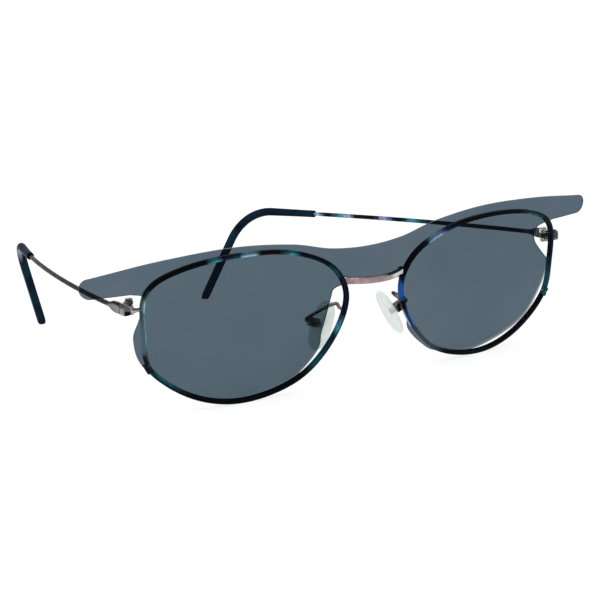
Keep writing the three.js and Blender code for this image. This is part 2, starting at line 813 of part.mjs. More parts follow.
// Tinted shade: a curved sheet cut to an outline of two lobes, a nose notch, hinge notches and wings
function shadeHalf(notch) {
  const centre = lensCentreDistance / 2;
  const reach = centre + halfWidth + shadeWingLength;
  const wingTop = halfHeight - shadeWingTopDrop;
  const wingLow = wingTop - shadeWingHeight;
  const lowRound = shadeWingHeight - shadeWingTopRound;
  const point = (x, y) => new THREE.Vector2(x, y);
  function corner(radius, middleHeight, from, to) {
    const arc = new THREE.EllipseCurve(reach - radius, middleHeight, radius, radius, from, to, true);
    return arc.getPoints(shadeCornerSteps).slice(1);
  }
  const brow = new THREE.SplineCurve([
    ...shadeBrow.map(([share, rise]) => point(share * centre, halfHeight + rise)),
    point(reach - shadeWingTopRound, wingTop),
  ]);
  const lobe = new THREE.SplineCurve([
    point(centre + shadeWingRoot, wingLow),
    ...[...shadeLobe, ...notch].reverse().map(([u, v]) => point(centre + u * halfWidth, v * halfHeight)),
    point(shadeNoseFlat, shadeNoseEdge),
  ]);
  return [
    ...brow.getPoints(shadeBrowSteps),
    ...corner(shadeWingTopRound, wingTop - shadeWingTopRound, Math.PI / 2, 0),
    ...corner(lowRound, wingLow + lowRound, 0, -Math.PI / 2),
    ...lobe.getPoints(shadeLobeSteps),
    point(0, shadeNoseEdge),
  ];
}

function shadeOutline() {
  const right = shadeHalf(shadeRightNotch).slice(1, -1).reverse();
  const mirrored = right.map((p) => new THREE.Vector2(-p.x, p.y));
  return new THREE.Shape([...shadeHalf(shadeLeftNotch), ...mirrored]);
}

// The sheet's middle lies just clear of the rims' backs
function shadeSetback() {
  let most = -Infinity;
  for (let i = 0; i < rimStations; i += 1) {
    const frame = inFront(eyeFrame(i / rimStations));
    const back = frame.point.clone().addScaledVector(frame.back, rimDepth / 2);
    most = Math.max(most, back.y - back.x ** 2 / (2 * shadeCurveRadius));
  }
  return most + seatGap + shadeThickness / 2;
}

function shadeGeometry() {
  const reach = lensCentreDistance / 2 + halfWidth + 2 * shadeWingLength; // past the ends of the wings
  const setback = shadeSetback();
  const curve = [];
  for (let i = 0; i <= shadeStrips; i += 1) {
    const x = THREE.MathUtils.lerp(-reach, reach, i / shadeStrips);
    curve.push(new THREE.Vector2(x, setback + x ** 2 / (2 * shadeCurveRadius)));
  }
  const edge = (offset) => curve.map((p) => new THREE.Vector2(p.x, p.y + offset));
  const strip = new THREE.Shape([...edge(-shadeThickness / 2), ...edge(shadeThickness / 2).reverse()]);
  const tall = 4 * lensHeight;
  const sheet = extruded(strip, tall).translate(0, 0, -tall / 2);
  const blank = extruded(shadeOutline(), tall)
    .rotateX(Math.PI / 2)
    .translate(0, tall / 2, 0)
    .rotateY(radians(shadeRoll))
    .translate(shadeShift, 0, 0);
  return common(sheet, blank);
}

// Assembly
const glasses = new THREE.Group();
const front = new THREE.Group();
front.rotation.x = radians(pantoscopicTilt);
glasses.add(front);

function add(parent, name, geometry, finish) {
  const mesh = new THREE.Mesh(geometry, finish);
  mesh.name = name;
  parent.add(mesh);
}

// Adds the left piece and its mirror image
function addPair(parent, name, geometry, finish) {
  add(parent, `left_${name}`, geometry, finish);
  add(parent, `right_${name}`, mirrored(geometry), finish);
}

const rim = rimGeometry();
addPair(front, 'rim', rim, finishes.enamel);
addPair(front, 'lens', lensGeometry(), finishes.clear);
addPair(front, 'rim_lock_upper', blockGeometry(1), finishes.enamel);
addPair(front, 'rim_lock_lower', blockGeometry(-1), finishes.enamel);
addPair(front, 'rim_screw', rimScrewGeometry(), finishes.steel);
add(front, 'bridge', bridgeGeometry(), finishes.pale);
addPair(front, 'pad_arm', padArmGeometry(), finishes.pale);
addPair(front, 'pad_box', padBoxGeometry(), finishes.pale);
addPair(front, 'pad_screw', padScrewGeometry(), finishes.steel);
addPair(front, 'pad_post', padPostGeometry(), finishes.steel);
addPair(front, 'nose_pad', padGeometry(), finishes.silicone);
add(front, 'tinted_shade', shadeGeometry(), finishes.tint);
addPair(glasses, 'end_piece', endPieceGeometry(), finishes.steel);

const floor = new THREE.Box3().setFromBufferAttribute(
  rim.clone().applyMatrix4(frontMatrix).getAttribute('position'),
).min.z;
const frontLeaf = frontLeafGeometry();
const rearLeaf = rearLeafGeometry();
const hingeScrew = hingeScrewGeometry();

const arms = [
  ['left', 1, leftToeIn, leftBow, finishes.enamel],
  ['right', -1, rightToeIn, rightBow, finishes.steel],
];
for (const [name, side, toeIn, bow, finish] of arms) {
  const own = (geometry) => (side > 0 ? geometry : mirrored(geometry));
  const hinge = new THREE.Group();
  hinge.position.set(side * hingePin.x, hingePin.y, hingePin.z);
  glasses.add(hinge);
  add(hinge, `${name}_hinge_front_leaf`, own(frontLeaf), finishes.steel);
  add(hinge, `${name}_hinge_screw`, own(hingeScrew), finishes.steel);
  const path = templePath(floor - hingePin.z, bow);
  const arm = new THREE.Group();
  arm.rotation.z = side * radians(toeIn);
  hinge.add(arm);
  add(arm, `${name}_hinge_rear_leaf`, own(rearLeaf), finishes.steel);
  add(arm, `${name}_temple`, own(templeGeometry(path)), finish);
  add(arm, `${name}_temple_tip`, own(tipGeometry(path)), finishes.sleeve);
}

// Stand the part on z = 0 with its depth centred on the origin
const box = new THREE.Box3().setFromObject(glasses, true);
glasses.position.set(0, -(box.min.y + box.max.y) / 2, -box.min.z);
glasses.updateMatrixWorld(true);

export default glasses;
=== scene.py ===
import json
import bpy
import numpy as np
from mathutils import Matrix, Vector


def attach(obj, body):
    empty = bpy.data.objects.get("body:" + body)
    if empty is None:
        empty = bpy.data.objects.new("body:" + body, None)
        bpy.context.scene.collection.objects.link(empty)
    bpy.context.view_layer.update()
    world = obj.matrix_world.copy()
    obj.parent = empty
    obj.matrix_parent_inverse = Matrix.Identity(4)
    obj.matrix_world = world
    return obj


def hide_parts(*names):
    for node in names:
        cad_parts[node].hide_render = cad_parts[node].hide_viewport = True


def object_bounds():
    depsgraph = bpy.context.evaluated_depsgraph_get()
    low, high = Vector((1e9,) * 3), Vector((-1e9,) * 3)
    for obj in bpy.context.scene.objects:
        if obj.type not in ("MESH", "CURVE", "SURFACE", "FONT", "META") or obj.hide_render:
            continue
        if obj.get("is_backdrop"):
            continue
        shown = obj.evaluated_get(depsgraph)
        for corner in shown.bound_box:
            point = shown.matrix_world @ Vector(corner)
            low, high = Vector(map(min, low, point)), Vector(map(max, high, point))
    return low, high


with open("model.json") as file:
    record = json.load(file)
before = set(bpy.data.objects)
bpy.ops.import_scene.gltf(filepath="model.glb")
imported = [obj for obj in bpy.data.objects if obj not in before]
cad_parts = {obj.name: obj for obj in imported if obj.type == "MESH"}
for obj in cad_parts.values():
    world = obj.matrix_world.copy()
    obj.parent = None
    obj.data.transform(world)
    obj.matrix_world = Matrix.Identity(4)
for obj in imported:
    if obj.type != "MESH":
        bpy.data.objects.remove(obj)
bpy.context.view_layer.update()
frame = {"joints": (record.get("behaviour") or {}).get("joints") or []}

# Lengths are millimetres and angles degrees; mm turns a length into the frame's metres
mm = 0.001
sides = [("left", 1), ("right", -1)]


def unit(vectors):
    return vectors / np.linalg.norm(vectors, axis=-1, keepdims=True)


def lerp(a, b, share):
    return a + (b - a) * share


def smooth(value, low, high):
    share = np.clip((value - low) / (high - low), 0, 1)
    return share * share * (3 - 2 * share)


def turn(axis, degrees):
    return np.array(Matrix.Rotation(np.radians(degrees), 3, axis))


def toSide(points, side):
    return points * np.array([side, 1, 1])


# The way to a place in the room, by its angle round from the front and its height
def towards(azimuth, elevation):
    a, e = np.radians([azimuth, elevation])
    return np.array([np.sin(a) * np.cos(e), -np.cos(a) * np.cos(e), np.sin(e)])


# A quadratic arc between two points, drawn towards the corner between them
def arc(start, corner, end, t):
    return start * (1 - t) ** 2 + 2 * corner * t * (1 - t) + end * t * t


# The cosine and sine of an angle, each raised to two over the squareness; two gives a circle
def squarish(angle, power):
    return [np.sign(f) * np.abs(f) ** (2 / power) for f in (np.cos(angle), np.sin(angle))]


# A smooth curve through points: each span is a cubic whose end slopes come from the neighbouring points.
# Knots are spaced by the chord to a power, and an open curve mirrors its last span past the end.
def throughPoints(points, closed=False, power=0.5, steps=48):
    points = np.asarray(points, float)
    if closed:
        points = np.concatenate([points[-1:], points, points[:2]])
    else:
        points = np.concatenate([2 * points[:1] - points[1:2], points, 2 * points[-1:] - points[-2:-1]])
    spans = len(points) - 3
    place = np.linspace(0, spans, spans * steps + 1)
    first = np.minimum(place.astype(int), spans - 1)
    t = (place - first)[:, None]
    p0, p1, p2, p3 = (points[first + k] for k in range(4))
    d0, d1, d2 = (np.linalg.norm(b - a, axis=1)[:, None] ** power for a, b in ((p0, p1), (p1, p2), (p2, p3)))
    slope1 = d1 * ((p1 - p0) / d0 - (p2 - p0) / (d0 + d1) + (p2 - p1) / d1)
    slope2 = d1 * ((p2 - p1) / d1 - (p3 - p1) / (d1 + d2) + (p3 - p2) / d2)
    rise = t * t * (3 - 2 * t)
    return p1 * (1 - rise) + p2 * rise + slope1 * t * (1 - t) ** 2 - slope2 * t * t * (1 - t)


def lengthsOf(path):
    return np.concatenate([[0], np.cumsum(np.linalg.norm(np.diff(path, axis=0), axis=1))])


def atLength(path, places):
    lengths = lengthsOf(path)
    return np.stack([np.interp(places, lengths, path[:, k]) for k in range(path.shape[1])], -1)


def slopeAt(path, places):
    lengths = lengthsOf(path)
    slopes = np.gradient(path, lengths, axis=0)
    return np.stack([np.interp(places, lengths, slopes[:, k]) for k in range(path.shape[1])], -1)


# A closed outline whose corners are rounded: each is a quadratic arc that starts a given cut away
def softCorners(corners, cut, steps=5):
    corners = np.asarray(corners, float)
    before = unit(np.roll(corners, 1, axis=0) - corners)
    after = unit(np.roll(corners, -1, axis=0) - corners)
    cut = np.broadcast_to(np.asarray(cut, float), len(corners))[:, None]
    start, end = corners + before * cut, corners + after * cut
    t = np.linspace(0, 1, steps)[None, :, None]
    return arc(start[:, None], corners[:, None], end[:, None], t).reshape(-1, 2)


# An outline moved inwards by a distance, square to its own direction
def inset(outline, distance):
    along = unit(np.roll(outline, -1, axis=0) - np.roll(outline, 1, axis=0))
    inwards = np.stack([-along[:, 1], along[:, 0]], -1)
    around = np.roll(outline, -1, axis=0)
    area = np.sum(outline[:, 0] * around[:, 1] - outline[:, 1] * around[:, 0])
    return outline + inwards * distance * np.sign(area)


# The skin over rows of points that each close on themselves. Its ends are flat faces or single
# points, or the last row joins the first. The map holds the length along the rows and the way round.
def skin(grid, ends="flat", places=None, walls=()):
    rows, around = grid.shape[:2]
    points = grid.reshape(-1, 3)
    if places is None:
        places = lengthsOf(grid.mean(1))
    joined = ends == "joined"
    row = np.arange(rows if joined else rows - 1)[:, None]
    side = np.arange(around)[None, :]
    corner = [(row, side), (row, side + 1), (row + 1, side + 1), (row + 1, side)]
    quads = np.stack([(r % rows) * around + s % around for r, s in corner], -1).reshape(-1, 4)
    maps = np.stack([np.stack([places[r % rows] + 0 * s, s / around + 0 * r], -1) for r, s in corner], 2)
    wall = np.isin(side + 0 * row, walls).ravel()
    groups = [[quads, maps.reshape(-1, 4, 2), wall]]
    for end in () if joined else (0, rows - 1):
        ring = end * around + np.arange(around)
        ring = ring[::-1] if end == 0 else ring
        at = np.stack([np.full(around, places[end]), (ring % around) / around], -1)
        if ends == "flat":
            groups.append([ring[None], at[None], np.array([True])])
        else:
            point = np.full(around, len(points))
            points = np.concatenate([points, grid[end].mean(0)[None]])
            fan = np.stack([ring, np.roll(ring, -1), point], -1)
            groups.append([fan, np.stack([at, at, at], 1), np.zeros(around, bool)])
    return [points, groups]


def volumeOf(points, faces):
    apex = points[faces[:, 0]]
    total = 0
    for k in range(1, faces.shape[1] - 1):
        total += np.sum(apex * np.cross(points[faces[:, k]], points[faces[:, k + 1]]))
    return total


# One mesh of closed skins, each turned so that its faces look outwards
def addPiece(name, skins, body, nodes, material, wallMaterial=None):
    points, faces, maps, sharp = [], [], [], []
    count = 0
    for skinPoints, groups in skins:
        flip = -1 if sum(volumeOf(skinPoints, group[0]) for group in groups) < 0 else 1
        for corners, at, wall in groups:
            faces += (corners[:, ::flip] + count).tolist()
            maps.append(at[:, ::flip].reshape(-1, 2))
            sharp.append(wall)
        points.append(skinPoints)
        count += len(skinPoints)
    mesh = bpy.data.meshes.new(name)
    mesh.from_pydata((np.concatenate(points) * mm).tolist(), [], faces)
    mesh.uv_layers.new(name="length").data.foreach_set("uv", np.concatenate(maps).ravel())
    sharp = np.concatenate(sharp)
    mesh.polygons.foreach_set("use_smooth", ~sharp)
    mesh.materials.append(material)
    if wallMaterial:
        mesh.materials.append(wallMaterial)
        mesh.polygons.foreach_set("material_index", sharp.astype(int))
    mesh.update()
    piece = bpy.data.objects.new(name, mesh)
    bpy.context.scene.collection.objects.link(piece)
    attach(piece, body)
    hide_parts(*nodes)


# The same piece on both sides: each grid is put in its place and skinned by how it ends
def addPair(piece, grids, place, node, material, body="front"):
    for name, side in sides:
        skins = [skin(place(grid, side), ends) for grid, ends in grids]
        finish = material[name] if isinstance(material, dict) else material
        addPiece(name + piece, skins, body if body == "front" else name + body, [name + node], finish)


# A rod: a rounded section carried along a path, its width, height and squareness changing by length
def rod(path, places, wide, tall, power=2, around=24, up=(0, 0, 1)):
    places = np.asarray(places, float)
    middle = atLength(path, places)
    along = unit(slopeAt(path, places))
    across = unit(np.cross(along, np.broadcast_to(np.asarray(up, float), along.shape)))
    rise = np.cross(across, along)
    wide, tall, power = (np.broadcast_to(np.asarray(v, float), places.shape)[:, None]
                         for v in (wide, tall, power))
    x, y = squarish(np.linspace(0, 2 * np.pi, around, endpoint=False), power)
    return middle[:, None] + across[:, None] * (wide * x)[..., None] + rise[:, None] * (tall * y)[..., None]


# Distances along a rod, close together over the rounded ends
def rodPlaces(length, gap, startRound=0.0, endRound=0.0):
    bend = 1 - np.cos(np.linspace(0, np.pi / 2, 7))
    middle = np.linspace(startRound, length - endRound, max(int(length / gap), 4) + 1)
    start = startRound * bend[:-1] if startRound else []
    end = length - endRound * bend[-2::-1] if endRound else []
    return np.concatenate([start, middle, end])


# How much of its section a rod keeps near a rounded end: a quarter circle, and never quite nothing
def endShare(places, length, startRound, endRound, half):
    left = np.clip((startRound - places) / startRound, 0, 1) if startRound else 0 * places
    right = np.clip((places - length + endRound) / endRound, 0, 1) if endRound else 0 * places
    lost = startRound * (1 - np.sqrt(1 - left ** 2)) + endRound * (1 - np.sqrt(1 - right ** 2))
    return np.maximum(1 - lost / half, 0.02)


# How much thicker a rod is near its two ends, where it is brazed on
def brazed(places, size):
    nearest = np.minimum(places, places[-1] - places)
    return 1 + size["swell"] * (1 - smooth(nearest, size["swellFrom"], size["swellTo"]))


# Outlines in two axes, each at its level on the third
def stacked(levels):
    return np.stack([np.column_stack([shape, np.full(len(shape), z)]) for shape, z in levels])


# An outline pushed along the third axis, with its edges taken off
def prism(outline, low, high, edge):
    small = inset(outline, edge)
    return stacked([(small, low), (outline, low + edge), (outline, high - edge), (small, high)])


# A flat bar with softened edges, as tall above its middle as below
def plate(x0, x1, y0, y1, tall, edge):
    return prism(softCorners([[x0, y0], [x1, y0], [x1, y1], [x0, y1]], edge), -tall / 2, tall / 2, edge)


# A block with a hole: its outline and the hole's circle are joined by flat faces at both ends
def boredBlock(outline, centre, bore, low, high, edge):
    away = unit(outline - centre)
    circle, small = centre + away * bore, outline - away * edge
    return stacked([(small, low), (outline, low + edge), (outline, high - edge), (small, high),
                    (circle, high), (circle, low)])


# A slotted screw along +Z with its head's top at zero: strips across the head are rectangles as long
# as the circle is there, lower between the sides of the slot; the shank is a plain round pin
def screw(size):
    radius, tall, edge = size["head"], size["headTall"], size["edge"]
    half, slope, overlap = size["slot"] / 2, 0.001, 0.05  # slope of the slot's sides, shank inside the head
    x = np.concatenate([-radius * np.cos(np.linspace(0.05, 1.3, 9)), [-half - slope, -half]])
    x = np.concatenate([x, -x[::-1]])
    reach = np.sqrt(radius ** 2 - x ** 2)
    level = np.where(np.abs(x) < half + slope / 2, -size["slotDeep"], 0)
    flat = reach * (1 - edge / radius)
    y = np.stack([-reach, -reach, -flat, flat, reach, reach], 1)
    z = np.stack([0 * x - tall, level - edge, level, level, level - edge, 0 * x - tall], 1)
    head = np.stack([np.broadcast_to(x[:, None], y.shape), y, z], -1)
    shank = np.linspace([0, 0, overlap - tall], [0, 0, -tall - size["shankLong"]], 9)
    places = np.linspace(0, size["shankLong"] + overlap, 4)
    return [head, rod(shank, places, size["shank"], size["shank"], up=(0, 1, 0))]


def linear(code):
    parts = np.array([int(code[k:k + 2], 16) for k in (1, 3, 5)]) / 255
    parts = np.where(parts <= 0.04045, parts / 12.92, ((parts + 0.055) / 1.055) ** 2.4)
    return (*parts.tolist(), 1.0)


# Adds one node. Settings are inputs by name or number, or the node's own values. A link is an output, or
# a node for its first output.
def addNode(tree, kind, settings={}, links={}):
    node = tree.nodes.new("ShaderNode" + kind)
    for key, value in settings.items():
        if key == "stops":
            stops = node.color_ramp.elements
            while len(stops) < len(value):
                stops.new(0.5)
            for stop, (at, colour) in zip(stops, value):
                stop.position = at
                stop.color = linear(colour)
        elif isinstance(key, int) or key in node.inputs:
            node.inputs[key].default_value = value
        else:
            setattr(node, key, value)
    for key, source in links.items():
        output = source if isinstance(source, bpy.types.NodeSocket) else source.outputs[0]
        tree.links.new(output, node.inputs[key])
    return node


def newMaterial(name):
    material = bpy.data.materials.new(name)
    material.use_nodes = True
    tree = material.node_tree
    tree.nodes.clear()
    return material, tree, addNode(tree, "TexCoord")


def setSurface(tree, shader):
    addNode(tree, "OutputMaterial", {}, {"Surface": shader})


# A noise has about one blob for each unit, so its scale is one over the blob's real size in millimetres
def blobs(size):
    return 1 / (size * mm)


# Most of a noise lies between these two values, which are stretched over a range
noiseLow, noiseHigh = 0.3, 0.7


def stretched(low, high):
    return {"From Min": noiseLow, "From Max": noiseHigh, "To Min": low, "To Max": high}


# Two colours, one at the low and one at the high end of a noise
def noiseStops(colours):
    return list(zip((noiseLow, noiseHigh), colours))


# Stops that start hidden or shown and change to the other and back, each time between two places
hidden, shown = "#000000", "#ffffff"


def fade(first, *places):
    other = shown if first == hidden else hidden
    return [(at, first if k % 4 in (0, 3) else other) for k, at in enumerate(places)]


# Lays paints over a colour, each between two places along the piece and on one belt round its section
def layered(tree, colour, runs, along, around, long):
    for run in runs:
        stops = [(at / long, code) for at, code in run["along"]]
        reach = addNode(tree, "ValToRGB", {"stops": stops}, {"Fac": along})
        belt = addNode(tree, "ValToRGB", {"stops": run["belt"]}, {"Fac": around})
        cover = addNode(tree, "Math", {"operation": "MULTIPLY"}, {0: reach, 1: belt})
        mix = addNode(tree, "Mix", {"data_type": "RGBA", "B": linear(run["paint"])},
                      {"Factor": cover, "A": colour})
        colour = mix.outputs[2]
    return colour


# Stove enamel brushed on wire: a deep gloss, navy black with drifts of teal, blue and sky along the wire.
# A drift is a place in millimetres and a paint; noise frays the edges of the drifts and clouds the paint.
paints = {"black": "#02050a", "navy": "#071024", "blue": "#143463", "teal": "#0e4a52", "cyan": "#3c8ba0",
          "sky": "#8fc0da", "lilac": "#8f9dc9", "slate": "#38434f", "brown": "#120e10", "steel": "#4f737d",
          "mist": "#7f9fae", "moss": "#2f6a58", "fog": "#64868f", "azure": "#34629f"}
enamelLook = {"fray": 2.2, "waver": 2.4, "cloud": 0.9, "tone": (0.6, 1.25), "rough": (0.14, 0.3),
              "brush": 0.15, "brushDeep": 0.03, "ior": 1.5, "specular": 0.03}


def brushedEnamel(name, drifts, belt, patches=()):
    look = enamelLook
    material, tree, place = newMaterial(name)
    long = drifts[-1][0]
    split = addNode(tree, "SeparateXYZ", {}, {"Vector": place.outputs["UV"]})
    fray = addNode(tree, "TexNoise", {"Scale": blobs(look["fray"]), "Detail": 2.0},
                   {"Vector": place.outputs["Object"]})
    waver = addNode(tree, "MapRange", {"To Min": -look["waver"], "To Max": look["waver"]}, {"Value": fray})
    along = addNode(tree, "Math", {"operation": "ADD"}, {0: split.outputs["X"], 1: waver})
    share = addNode(tree, "MapRange", {"From Max": long}, {"Value": along})
    stops = [(at / long, paints[paint]) for at, paint in drifts]
    colour = addNode(tree, "ValToRGB", {"stops": stops}, {"Fac": share})
    cloud = addNode(tree, "TexNoise", {"Scale": blobs(look["cloud"]), "Detail": 2.0},
                    {"Vector": place.outputs["Object"]})
    tone = addNode(tree, "MapRange", stretched(*look["tone"]), {"Value": cloud})
    clouded = addNode(tree, "VectorMath", {"operation": "SCALE"}, {0: colour, "Scale": tone})
    # The belt is painted shade round the section: it darkens some sides of the wire
    around = addNode(tree, "ValToRGB", {"stops": belt}, {"Fac": split.outputs["Y"]})
    mixed = addNode(tree, "VectorMath", {"operation": "MULTIPLY"}, {0: clouded, 1: around})
    mixed = layered(tree, mixed, patches, share, split.outputs["Y"], long)
    rough = addNode(tree, "MapRange", stretched(*look["rough"]), {"Value": cloud})
    bump = addNode(tree, "Bump", {"Strength": look["brush"], "Distance": look["brushDeep"] * mm},
                   {"Height": cloud})
    shader = addNode(tree, "BsdfPrincipled", {"IOR": look["ior"], "Specular IOR Level": look["specular"]},
                     {"Base Color": mixed, "Roughness": rough, "Normal": bump})
    setSurface(tree, shader)
    return material


# Polished or satin metal: a bright uneven sheen, from fine noise for the polish and slow noise for tarnish
metalLook = {"tarnish": 1.6, "grain": 0.35, "darkAt": 0.36, "paleAt": 0.62, "polish": 0.15,
             "polishDeep": 0.02}


def wornMetal(name, pale, dark, rough):
    look = metalLook
    material, tree, place = newMaterial(name)
    tarnish = addNode(tree, "TexNoise", {"Scale": blobs(look["tarnish"]), "Detail": 3.0},
                      {"Vector": place.outputs["Object"]})
    colour = addNode(tree, "ValToRGB", {"stops": [(look["darkAt"], dark), (look["paleAt"], pale)]},
                     {"Fac": tarnish})
    grain = addNode(tree, "TexNoise", {"Scale": blobs(look["grain"]), "Detail": 2.0},
                    {"Vector": place.outputs["Object"]})
    sheen = addNode(tree, "MapRange", stretched(*rough), {"Value": grain})
    bump = addNode(tree, "Bump", {"Strength": look["polish"], "Distance": look["polishDeep"] * mm},
                   {"Height": grain})
    shader = addNode(tree, "BsdfPrincipled", {"Metallic": 1.0},
                     {"Base Color": colour, "Roughness": sheen, "Normal": bump})
    setSurface(tree, shader)
    return material


# Plated or lacquered metal whose colour changes along the piece, at places in millimetres; stains make the
# colour and the sheen uneven, and a grey edge tint dulls what it reflects at a slant
lacquerLook = {"stain": 1.4, "tone": (0.72, 1.15)}


def lacqueredMetal(name, tones, rough, runs=(), edge="#ffffff"):
    look = lacquerLook
    material, tree, place = newMaterial(name)
    long = tones[-1][0]
    split = addNode(tree, "SeparateXYZ", {}, {"Vector": place.outputs["UV"]})
    along = addNode(tree, "MapRange", {"From Max": long}, {"Value": split.outputs["X"]})
    colour = addNode(tree, "ValToRGB", {"stops": [(at / long, code) for at, code in tones]}, {"Fac": along})
    stain = addNode(tree, "TexNoise", {"Scale": blobs(look["stain"]), "Detail": 3.0},
                    {"Vector": place.outputs["Object"]})
    tone = addNode(tree, "MapRange", stretched(*look["tone"]), {"Value": stain})
    mixed = addNode(tree, "VectorMath", {"operation": "SCALE"}, {0: colour, "Scale": tone})
    mixed = layered(tree, mixed, runs, along, split.outputs["Y"], long)
    sheen = addNode(tree, "MapRange", stretched(*rough), {"Value": stain})
    shader = addNode(tree, "BsdfPrincipled", {"Metallic": 1.0, "Specular Tint": linear(edge)},
                     {"Base Color": mixed, "Roughness": sheen})
    setSurface(tree, shader)
    return material


# A clear sheet or lens: light goes straight through with a tint at each face, a haze scatters a little,
# and from a slant of about 60 degrees the face reflects more and more. Faint smears break up the reflection.
clearLook = {"rough": (0.02, 0.07), "power": 5.0, "slantFrom": 0.03, "slantMost": 0.7}


def clearSheet(name, tint, smear, haze=0.0, hazeTint="#ffffff", straight=0.0):
    look = clearLook
    material, tree, place = newMaterial(name)
    smears = addNode(tree, "TexNoise", {"Scale": blobs(smear), "Detail": 3.0},
                     {"Vector": place.outputs["Object"]})
    colour = addNode(tree, "ValToRGB", {"stops": noiseStops(tint)}, {"Fac": smears})
    rough = addNode(tree, "MapRange", stretched(*look["rough"]), {"Value": smears})
    through = addNode(tree, "BsdfTransparent", {}, {"Color": colour})
    milk = addNode(tree, "BsdfDiffuse", {"Color": linear(hazeTint)})
    inside = addNode(tree, "MixShader", {"Fac": haze}, {1: through, 2: milk})
    gloss = addNode(tree, "BsdfGlossy", {"Color": (1, 1, 1, 1)}, {"Roughness": rough})
    facing = addNode(tree, "LayerWeight", {"Blend": 0.5})
    steep = addNode(tree, "Math", {"operation": "POWER", 1: look["power"]}, {0: facing.outputs["Facing"]})
    slant = addNode(tree, "MapRange", {"From Min": look["slantFrom"], "To Min": straight,
                    "To Max": look["slantMost"]}, {"Value": steep})
    setSurface(tree, addNode(tree, "MixShader", {}, {"Fac": slant, 1: inside, 2: gloss}))
    return material


# Cast silicone: milky, lets part of the light straight through, with a soft satin skin
siliconeLook = {"cloud": 2.4, "colours": ("#dfe5e2", "#f8fbf9"), "rough": (0.3, 0.45), "ior": 1.41,
                "through": "#f2f5f3", "milk": 0.45}


def milkySilicone(name):
    look = siliconeLook
    material, tree, place = newMaterial(name)
    cloud = addNode(tree, "TexNoise", {"Scale": blobs(look["cloud"]), "Detail": 2.0},
                    {"Vector": place.outputs["Object"]})
    colour = addNode(tree, "ValToRGB", {"stops": noiseStops(look["colours"])}, {"Fac": cloud})
    low, high = look["rough"]
    rough = addNode(tree, "MapRange", {"To Min": low, "To Max": high}, {"Value": cloud})
    body = addNode(tree, "BsdfPrincipled", {"IOR": look["ior"]}, {"Base Color": colour, "Roughness": rough})
    through = addNode(tree, "BsdfTransparent", {"Color": linear(look["through"])})
    setSurface(tree, addNode(tree, "MixShader", {"Fac": look["milk"]}, {1: through, 2: body}))
    return material


# Moulded acetate sleeve: navy with slow teal clouds, smooth and a little waxy from handling
acetateLook = {"cloud": 6, "swirl": 0.8, "rub": 1.1, "rough": (0.22, 0.42), "ior": 1.47, "specular": 0.003}


def sleeveAcetate(name, stops, long, paintedHighlights):
    look = acetateLook
    material, tree, place = newMaterial(name)
    split = addNode(tree, "SeparateXYZ", {}, {"Vector": place.outputs["UV"]})
    along = addNode(tree, "MapRange", {"From Max": long}, {"Value": split.outputs["X"]})
    cloud = addNode(tree, "TexNoise",
                    {"Scale": blobs(look["cloud"]), "Detail": 2.0, "Distortion": look["swirl"]},
                    {"Vector": place.outputs["Object"]})
    colour = addNode(tree, "ValToRGB", {"stops": stops}, {"Fac": cloud})
    # Strips of painted highlight laid along the sleeve
    highlighted = layered(tree, colour, paintedHighlights, along, split.outputs["Y"], long)
    rub = addNode(tree, "TexNoise", {"Scale": blobs(look["rub"]), "Detail": 3.0},
                  {"Vector": place.outputs["Object"]})
    rough = addNode(tree, "MapRange", stretched(*look["rough"]), {"Value": rub})
    shader = addNode(tree, "BsdfPrincipled", {"IOR": look["ior"], "Specular IOR Level": look["specular"]},
                     {"Base Color": highlighted, "Roughness": rough})
    setSurface(tree, shader)
    return material


# Drifts of marbling, and painted highlights: the mist at 13 to 15 mm right, the lilac and sky at 57 to 62 mm
# left
nearDriftsAndHighlights = [(0, "navy"), (3, "slate"), (5, "fog"), (10, "fog"), (11.5, "steel"), (13.2, "mist"),
              (14.8, "mist"), (16, "moss"), (17, "navy"), (19, "black"), (32, "black"), (34.5, "cyan"),
              (37, "navy"), (40.5, "teal"), (43, "sky"), (45.5, "brown"), (51, "brown"), (54, "cyan"),
              (57, "navy"), (65, "navy"), (68, "teal"), (71, "navy"), (80, "navy"), (83.5, "cyan"),
              (86, "navy"), (92, "teal"), (97, "black"), (128, "black"), (134, "teal"), (138, "teal"),
              (142, "black")]
farDriftsAndHighlights = [(0, "teal"), (4, "teal"), (8, "navy"), (17, "navy"), (20, "black"), (24, "teal"), (28, "teal"),
             (31, "black"), (53, "black"), (56.5, "blue"), (58.5, "lilac"), (60.5, "sky"), (62.5, "navy"),
             (65, "black"), (73, "black"), (75, "blue"), (77.8, "blue"), (78.8, "black"), (80, "brown"),
             (81.3, "navy"), (82.4, "azure"), (86, "azure"), (87.5, "slate"), (95, "slate"), (101, "black"),
             (142, "black")]
templeDrifts = [(0, "slate"), (6, "slate"), (9, "navy"), (40, "navy"), (43, "teal"), (46, "cyan"),
                (49, "navy"), (53, "navy"), (55.5, "lilac"), (58, "brown"), (65, "brown"), (67.5, "lilac"),
                (71, "cyan"), (74, "navy"), (76, "navy"), (78.5, "sky"), (81, "navy"), (130, "navy")]
# Painted shade round the section: the outer corners are darker than the inner faces
rimShadeBelt = [(0.0, "#8c8c8c"), (0.05, "#7a7a7a"), (0.28, "#7a7a7a"), (0.34, "#ffffff"), (0.976, "#ffffff"),
           (0.986, "#c0c0c0"), (1.0, "#8c8c8c")]
# Painted shade round the temple wire: darker over the top and the outer side
wireShadeBelt = [(0.0, "#c4c4c4"), (0.25, "#a8a8a8"), (0.5, "#ffffff"), (0.75, "#ffffff"), (1.0, "#c4c4c4")]
